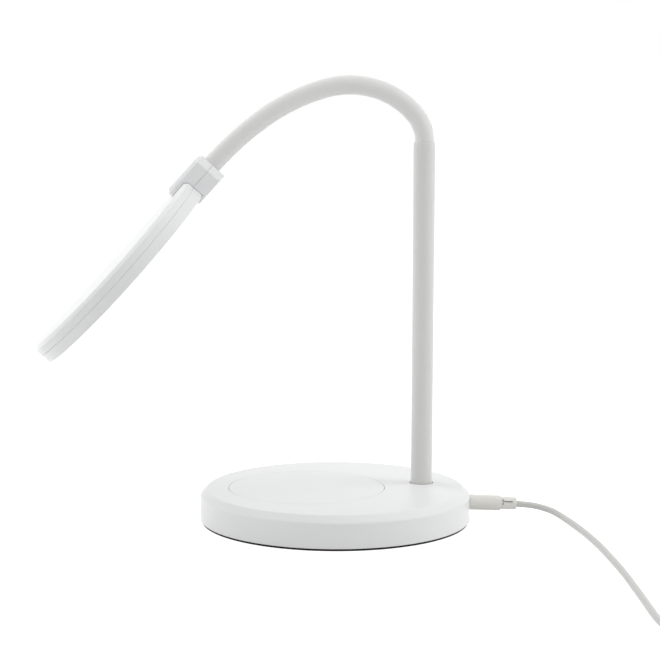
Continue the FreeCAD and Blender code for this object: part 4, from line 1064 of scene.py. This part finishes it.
        seat = self.block_bottom + self.room
        long = self.block_top - self.block_bottom - self.clamp_short
        screws = [self.screw(self.clamp_x, side * self.clamp_y, seat, long) for side in (-1, 1)]
        rise = self.bow * (self.tongue_screw_x / self.radius) ** 2
        tongue_seat = self.half - self.skin + rise - self.tongue_seat_drop
        short = self.block_top - self.tongue_short - tongue_seat
        screws += [self.screw(self.tongue_screw_x, side * self.tongue_screw_y, tongue_seat, short)
                   for side in (-1, 1)]
        finished("clamp_screws", merged(*screws), "steel", ["bracket_screws"], "head", self.place)

    def screw(self, x: float, y: float, seat: float, length: float) -> Solid:
        """A small cross-slotted screw that stands on its head."""
        neck, end = seat + self.cap_height, seat + length
        solid = turned([(0, seat, 0), (self.screw_cap, seat, 0.3), (self.screw_cap, neck, 0.1),
                        (self.screw_radius, neck, 0.1), (self.screw_radius, end, 0.3), (0, end, 0)], 40)
        reach, half = self.cross_reach, self.cross_half
        slots = [block((-x_half, -y_half, seat - 1), (x_half, y_half, seat + self.cross_depth))
                 for x_half, y_half in ((reach, half), (half, reach))]
        solid = carved(solid, *slots)
        bmesh.ops.translate(solid, verts=solid.verts, vec=(x, y, 0))
        return solid

    def build(self) -> None:
        """Builds the head and its bracket."""
        self.back()
        self.rim()
        self.light_face()
        self.bracket()


@dataclass
class Lead:
    """Plug, slotted strain relief, lead, the tied coil of what is put away, and the far plug."""

    face: float = 75.3
    height: float = 8.4
    plug_radius: float = 4.27
    plug_droop: float = 2.6
    plug_lift: float = 0.5
    plug_length: float = 17.8
    relief_radius: float = 3.5
    relief_tip: float = 3.45
    relief_length: float = 9.0
    cord_radius: float = 1.75
    cord_room: float = 1.8
    slot_depth: float = 1.9
    slot_shapes: tuple[tuple[Spot, Spot], ...] = (((1.15, 0.8), (2.75, 1.55)), ((1.1, 0.8), (1.75, 6.6)))
    slot_end: Spot = (0.15, 1.15)
    slot_end_radius: float = 0.42
    route: tuple[Point, ...] = (
        (101.4, 0.0, 7.45), (108.6, -0.5, 7.1), (115.4, -2.8, 6.1), (121.6, -8.3, 4.9), (126.3, -13.5, 2.5),
        (129.6, -28.5, 1.85), (131.9, -50.0, 1.8), (133.4, -75.0, 1.85), (133.9, -103.0, 1.8),
        (133.9, -132.0, 1.85), (132.9, -162.0, 1.8), (131.7, -191.0, 1.85), (130.4, -218.0, 1.8),
        (133.4, -240.0, 2.0))
    tail: tuple[Point, ...] = ((183.6, -248.5, 3.4), (184.6, -240.5, 3.8), (184.9, -233.0, 3.9),
                               (184.95, -231.5, 3.9))
    coil_centre: Spot = (160.4, -254.3)
    coil_slots: tuple[Point, ...] = (
        (23.0, 2.75, 270.0), (19.5, 2.75, 630.0), (16.0, 2.75, 945.0), (16.0, 6.25, 1305.0),
        (16.0, 9.75, 1620.0), (19.5, 9.75, 1980.0), (23.0, 9.75, 2295.0), (23.0, 6.25, 2497.5),
        (23.0, 3.1, 9999.0))
    coil_start: float = 202.5
    coil_end: float = 2520.0
    coil_pitch: float = 22.5
    tie_angle: float = 100.0
    tie_width: float = 8.0
    tie_thickness: float = 0.7
    tie_box: tuple[float, float, float, float] = (13.58, 24.85, 0.9, 11.6)
    tie_inner_round: float = 1.2
    tie_outer_round: float = 1.5
    usb_spot: Point = (184.9, -233.0, 3.9)
    usb_heading: float = 87.7
    usb_length: float = 27.0
    usb_width: float = 14.6
    usb_height: float = 7.6
    usb_round: float = 1.4
    grip_starts: tuple[float, ...] = (5.0, 8.0, 11.0, 14.0)
    grip_width: float = 1.2
    grip_inset: float = 2.5
    grip_depth: float = 0.35
    shell_length: float = 14.0
    shell_width: float = 12.0
    shell_height: float = 4.5
    shell_wall: float = 0.4
    shell_round: float = 0.5
    latch_run: Spot = (5.5, 7.7)
    latch_half: float = 1.1
    latch_spots: tuple[float, ...] = (-2.8, 2.8)
    collar: tuple[Spot, Spot] = ((-3.4, 2.6), (0.9, 3.1))

    def plug(self) -> list[Piece]:
        """Makes the plug's housing and the strain relief behind it."""
        droop = Matrix.Rotation(math.radians(90 + self.plug_droop), 4, "Y")
        place = Matrix.Translation((self.face, 0, self.height + self.plug_lift)) @ droop
        housing = turned([
            (0, 0, 0), (self.plug_radius, 0, 0.5), (self.plug_radius, self.plug_length, 0.45),
            (self.relief_radius + 0.2, self.plug_length, 0.1),
            (self.relief_radius + 0.1, self.plug_length - 0.5, 0), (0, self.plug_length - 0.5, 0)], 96, 4.0)
        pieces = [finished("plug_grip", housing, "lead_grey", ["plug_housing"], "lead", place)]
        length, body, tip = self.relief_length, self.relief_radius, self.relief_tip
        relief = turned([
            (0, -0.4, 0), (body, -0.4, 0), (body, length - 2.3, 0.1), (body - 0.15, length - 2.15, 0.05),
            (body - 0.15, length - 1.95, 0.05), (body, length - 1.8, 0.1), (tip, length, 0.45),
            (self.cord_room, length, 0.1), (self.cord_room, length - 3, 0), (0, length - 3, 0)], 96)
        cutters = []
        for side in (1, -1):
            near, far = -side * (body + 1), -side * (body - self.slot_depth)
            for (low_x, low_z), (high_x, high_z) in self.slot_shapes:
                across, into = sorted((-side * low_x, -side * high_x)), sorted((near, far))
                cutters.append(block((across[0], into[0], low_z), (across[1], into[1], high_z)))
            end_x, end_z = -side * self.slot_end[0], self.slot_end[1]
            cutters.append(bar(self.slot_end_radius, (end_x, near, end_z), (end_x, far, end_z), 24))
        relief = carved(relief, *cutters)
        bmesh.ops.translate(relief, verts=relief.verts, vec=(0, 0, self.plug_length))
        pieces.append(finished("strain_relief", relief, "lead_grey", ["plug_relief"], "lead", place))
        return pieces

    def coil(self) -> list[Point]:
        """Control points of the put-away turns, layer by layer, from where the lead comes in."""
        widen = 1.0 / (0.75 + 0.25 * math.cos(math.radians(2 * self.coil_pitch)))
        points, angle, slot = [], self.coil_start, 0
        while angle <= self.coil_end:
            radius, height, leave = self.coil_slots[slot]
            if angle > leave + 0.1:
                following = self.coil_slots[slot + 1]
                radius, height = (radius + following[0]) / 2, (height + following[1]) / 2
                slot += 1
            turn = math.radians(angle)
            points.append((self.coil_centre[0] + radius * widen * math.cos(turn),
                           self.coil_centre[1] + radius * widen * math.sin(turn), height))
            angle += self.coil_pitch
        return points

    def cord(self, with_pieces: Sequence[Piece]) -> Piece:
        """Lays the whole lead on one smooth line."""
        points = [*self.route, *self.coil(), *self.tail]
        curve = bpy.data.curves.new("lead_line", "CURVE")
        curve.dimensions = "3D"
        curve.bevel_depth = self.cord_radius * MM
        curve.bevel_resolution = 7
        curve.resolution_u = 6
        curve.use_fill_caps = True
        line = curve.splines.new("NURBS")
        line.points.add(len(points) - 1)
        for control, point in zip(line.points, points):
            control.co = (*(Vector(point) * MM), 1.0)
        line.order_u = 3
        line.use_endpoint_u = True
        curve.materials.append(FINISHES["lead_jacket"].material())
        cord = linked("lead_line", curve)
        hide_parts("lead_cord", "lead_coil", "lead_tail")
        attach(cord, "lead")
        plain = bpy.data.objects.new("plain", curve.copy())
        plain.data.bevel_depth = 0.0
        spots = [vert.co for vert in bpy.data.meshes.new_from_object(plain).vertices]
        length = sum((after - before).length for before, after in zip(spots, spots[1:]))
        log.info("lead: %.3f m", length)
        Vector(self.route[0]) * MM
        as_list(with_pieces)
        return cord

    def tie(self) -> Piece:
        """Makes the tape round the coil's turns."""
        near, far, low, high = self.tie_box
        half = self.tie_width / 2
        inner = block((near, -half - 1, low), (far, half + 1, high))
        eased(inner, edges_along(inner, 1), self.tie_inner_round, 4)
        thick = self.tie_thickness
        outer = block((near - thick, -half, low - thick), (far + thick, half, high + thick))
        eased(outer, edges_along(outer, 1), self.tie_outer_round, 4)
        turn = Matrix.Rotation(math.radians(self.tie_angle), 4, "Z")
        place = Matrix.Translation((*self.coil_centre, 0)) @ turn
        return finished("lead_tie", carved(outer, inner), "tie_black", ["coil_tie"], "lead", place)

    def far_plug(self) -> list[Piece]:
        """Makes the far plug's moulded body and its metal shell."""
        place = Matrix.Translation(self.usb_spot) @ Matrix.Rotation(math.radians(self.usb_heading), 4, "Z")
        wide, tall = self.usb_width / 2, self.usb_height / 2
        body = block((0, -wide, -tall), (self.usb_length, wide, tall))
        eased(body, body.edges, self.usb_round, 4)
        reach = wide - self.grip_inset
        levels = ((tall - self.grip_depth, tall + 1), (-tall - 1, -tall + self.grip_depth))
        grooves = [block((start, -reach, low), (start + self.grip_width, reach, high))
                   for start in self.grip_starts for low, high in levels]
        (low, narrow), (high, broad) = self.collar
        collar = turned([(self.cord_room, low, 0.1), (narrow, low, 0.4), (broad, high, 0),
                         (self.cord_room, high, 0)], 48)
        collar.transform(Matrix.Rotation(math.radians(90), 4, "Y"))
        body = merged(carved(body, *grooves), collar)
        pieces = [finished("far_plug_grip", body, "lead_grey", ["usb_body"], "lead", place)]
        wide, tall = self.shell_width / 2, self.shell_height / 2
        start, end = self.usb_length, self.usb_length + self.shell_length
        shell = block((start, -wide, -tall), (end, wide, tall))
        eased(shell, edges_along(shell, 0), self.shell_round, 3)
        thin = self.shell_wall
        cutters = [block((start + 1, thin - wide, 0), (end + 1, wide - thin, tall - thin))]
        (near, far), half = (start + edge for edge in self.latch_run), self.latch_half
        cutters += [block((near, middle - half, tall - 1), (far, middle + half, tall + 1))
                    for middle in self.latch_spots]
        shell = carved(shell, *cutters)
        pieces.append(finished("far_plug_shell", shell, "plug_metal", ["usb_shell"], "lead", place))
        return pieces

    def build(self) -> None:
        """Builds the lead from plug to plug."""
        pieces = [*self.plug(), self.tie(), *self.far_plug()]
        self.cord(pieces)


class Insides:
    """What the casings hold: CAD parts kept as they are and given their finishes."""

    def build(self) -> None:
        """Dresses every CAD node that is still shown, by its slot in the record."""
        slots = {part["node"]: part["material_slot"] for part in frame["record"]["subparts"]}
        for name, node in frame["nodes"].items():
            node.data.materials.clear()
            node.data.materials.append(FINISHES[slots[name]].material())
            if not node.hide_render:
                log.info("%s keeps its CAD shape in %s", name, slots[name])


# ---------------------------------------------------------------- light and camera
@dataclass(frozen=True)
class SoftBox:
    """A rectangular lamp: where it stands, its size, its power and what it looks at."""

    name: str
    spot: Point
    width: float
    height: float
    power: float
    aim: Point = (0.0, 0.0, 0.1)

    def build(self) -> None:
        """Hangs the lamp."""
        lamp = bpy.data.lights.new(self.name, "AREA")
        lamp.shape, lamp.size, lamp.size_y, lamp.energy = "RECTANGLE", self.width, self.height, self.power
        rig = linked(self.name, lamp)
        away = Vector(self.spot) - Vector(self.aim)
        rig.matrix_world = Matrix.Translation(self.spot) @ away.to_track_quat("Z", "Y").to_matrix().to_4x4()
        rig.visible_camera = False
        rig.visible_glossy = False


@dataclass
class Studio:
    """White floor and surround, and soft boxes. Metres."""

    floor_reach: float = 9.0
    floor_tone: float = 0.8
    floor_glow: float = 0.74
    floor_shade: float = 0.55
    ambient: float = 0.54
    from_sides: float = 0.2
    boxes: tuple[SoftBox, ...] = (
        SoftBox("right_box", (1.3, -0.1, 0.75), 0.9, 1.2, 6.0),
        SoftBox("top_box", (0.0, 0.2, 1.6), 1.2, 1.2, 2.9),
        SoftBox("high_left_box", (-1.0, -0.3, 1.3), 0.9, 0.9, 3.1),
        SoftBox("high_right_box", (1.0, -0.1, 1.25), 0.9, 0.9, 2.0),
        SoftBox("front_box", (0.2, -1.6, 0.9), 1.0, 0.8, 0.9),
        SoftBox("back_left_box", (-1.1, 0.7, 1.0), 0.9, 0.9, 7.9),
    )

    def seen_directly(self, tree: Tree) -> Socket:
        """1 for rays from the camera, off gloss or through glass, and 0 for the rays that light things."""
        path = add(tree, "ShaderNodeLightPath").outputs
        mirrored = calc(tree, "MAXIMUM", path["Is Glossy Ray"], path["Is Transmission Ray"])
        return calc(tree, "MAXIMUM", path["Is Camera Ray"], mirrored)

    def floor(self) -> None:
        """Lays the floor: white to the eye where nothing shades it, and plain pale paint to the light."""
        sheet = bmesh.new()
        bmesh.ops.create_grid(sheet, x_segments=1, y_segments=1, size=self.floor_reach)
        mesh = bpy.data.meshes.new("floor")
        sheet.to_mesh(mesh)
        sheet.free()
        material = bpy.data.materials.new("floor_paint")
        material.use_nodes = True
        tree = material.node_tree
        tree.nodes.clear()
        paint = add(tree, "ShaderNodeBsdfDiffuse", {"Color": (self.floor_tone,) * 3 + (1.0,)})
        shade = add(tree, "ShaderNodeBsdfDiffuse", {"Color": (self.floor_shade,) * 3 + (1.0,)})
        glow = add(tree, "ShaderNodeEmission", {"Color": WHITE, "Strength": self.floor_glow})
        seen = add(tree, "ShaderNodeAddShader", {0: shade.outputs[0], 1: glow.outputs[0]})
        lit = add(tree, "ShaderNodeMixShader", {0: self.seen_directly(tree), 1: paint.outputs[0],
                                                2: seen.outputs[0]})
        below = add(tree, "ShaderNodeNewGeometry").outputs["Backfacing"]
        clear = add(tree, "ShaderNodeBsdfTransparent")
        whole = add(tree, "ShaderNodeMixShader", {0: below, 1: lit.outputs[0], 2: clear.outputs[0]})
        add(tree, "ShaderNodeOutputMaterial", {"Surface": whole.outputs[0]})
        mesh.materials.append(material)
        floor = linked("floor", mesh)

    def surround(self) -> None:
        """Sets the world: white where it is seen, and softer where it only lights, least so at the sides."""
        world = bpy.data.worlds.new("surround")
        bpy.context.scene.world = world
        world.use_nodes = True
        tree = world.node_tree
        tree.nodes.clear()
        outward = add(tree, "ShaderNodeTexCoord").outputs["Generated"]
        axes = add(tree, "ShaderNodeSeparateXYZ", {0: outward}).outputs
        sideways = calc(tree, "MULTIPLY", calc(tree, "MULTIPLY", axes["X"], axes["X"]), self.from_sides)
        level = calc(tree, "ADD", sideways, self.ambient)
        dim = add(tree, "ShaderNodeBackground", {"Color": WHITE, "Strength": level})
        white = add(tree, "ShaderNodeBackground", {"Color": WHITE, "Strength": 1.0})
        mix = add(tree, "ShaderNodeMixShader", {0: self.seen_directly(tree), 1: dim.outputs[0],
                                                2: white.outputs[0]})
        add(tree, "ShaderNodeOutputWorld", {"Surface": mix.outputs[0]})

    def build(self) -> None:
        """Sets the stage."""
        bpy.context.scene.view_settings.view_transform = "Standard"
        self.floor()
        self.surround()
        for box in self.boxes:
            box.build()


@dataclass
class View:
    """The camera: angles in degrees and lengths in millimetres."""

    lens: float = 103.64
    sensor: float = 36.0
    elevation: float = 7.33
    azimuth: float = -4.0
    roll: float = 0.15
    distance: float = 1050.0
    target: Point = (-3.09, 0.22, 106.7)

    def build(self) -> None:
        """Stands the camera."""
        camera = bpy.data.cameras.new("camera")
        camera.lens, camera.sensor_width = self.lens, self.sensor
        camera.clip_start, camera.clip_end = 0.05, 40.0
        stand = linked("camera", camera)
        bpy.context.scene.camera = stand
        around, above, tilt = (math.radians(angle) for angle in (self.azimuth, self.elevation, self.roll))
        level = math.cos(above)
        back = Vector((math.sin(around) * level, -math.cos(around) * level, math.sin(above)))
        right = Vector((math.cos(around), math.sin(around), 0))
        up = back.cross(right)
        across = right * math.cos(tilt) + up * math.sin(tilt)
        upright = up * math.cos(tilt) - right * math.sin(tilt)
        turn = Matrix((across, upright, back)).transposed().to_4x4()
        stand.matrix_world = Matrix.Translation((Vector(self.target) + back * self.distance) * MM) @ turn


def main() -> None:
    """Builds the scene in order."""
    logging.basicConfig(level=logging.INFO, format="%(name)s: %(message)s")
    View().build()
    Studio().build()
    Lead().build()
    Base().build()
    Post().build()
    neck = Neck()
    neck.build()
    Head(neck).build()
    Insides().build()


if __name__ == "__main__":
    main()
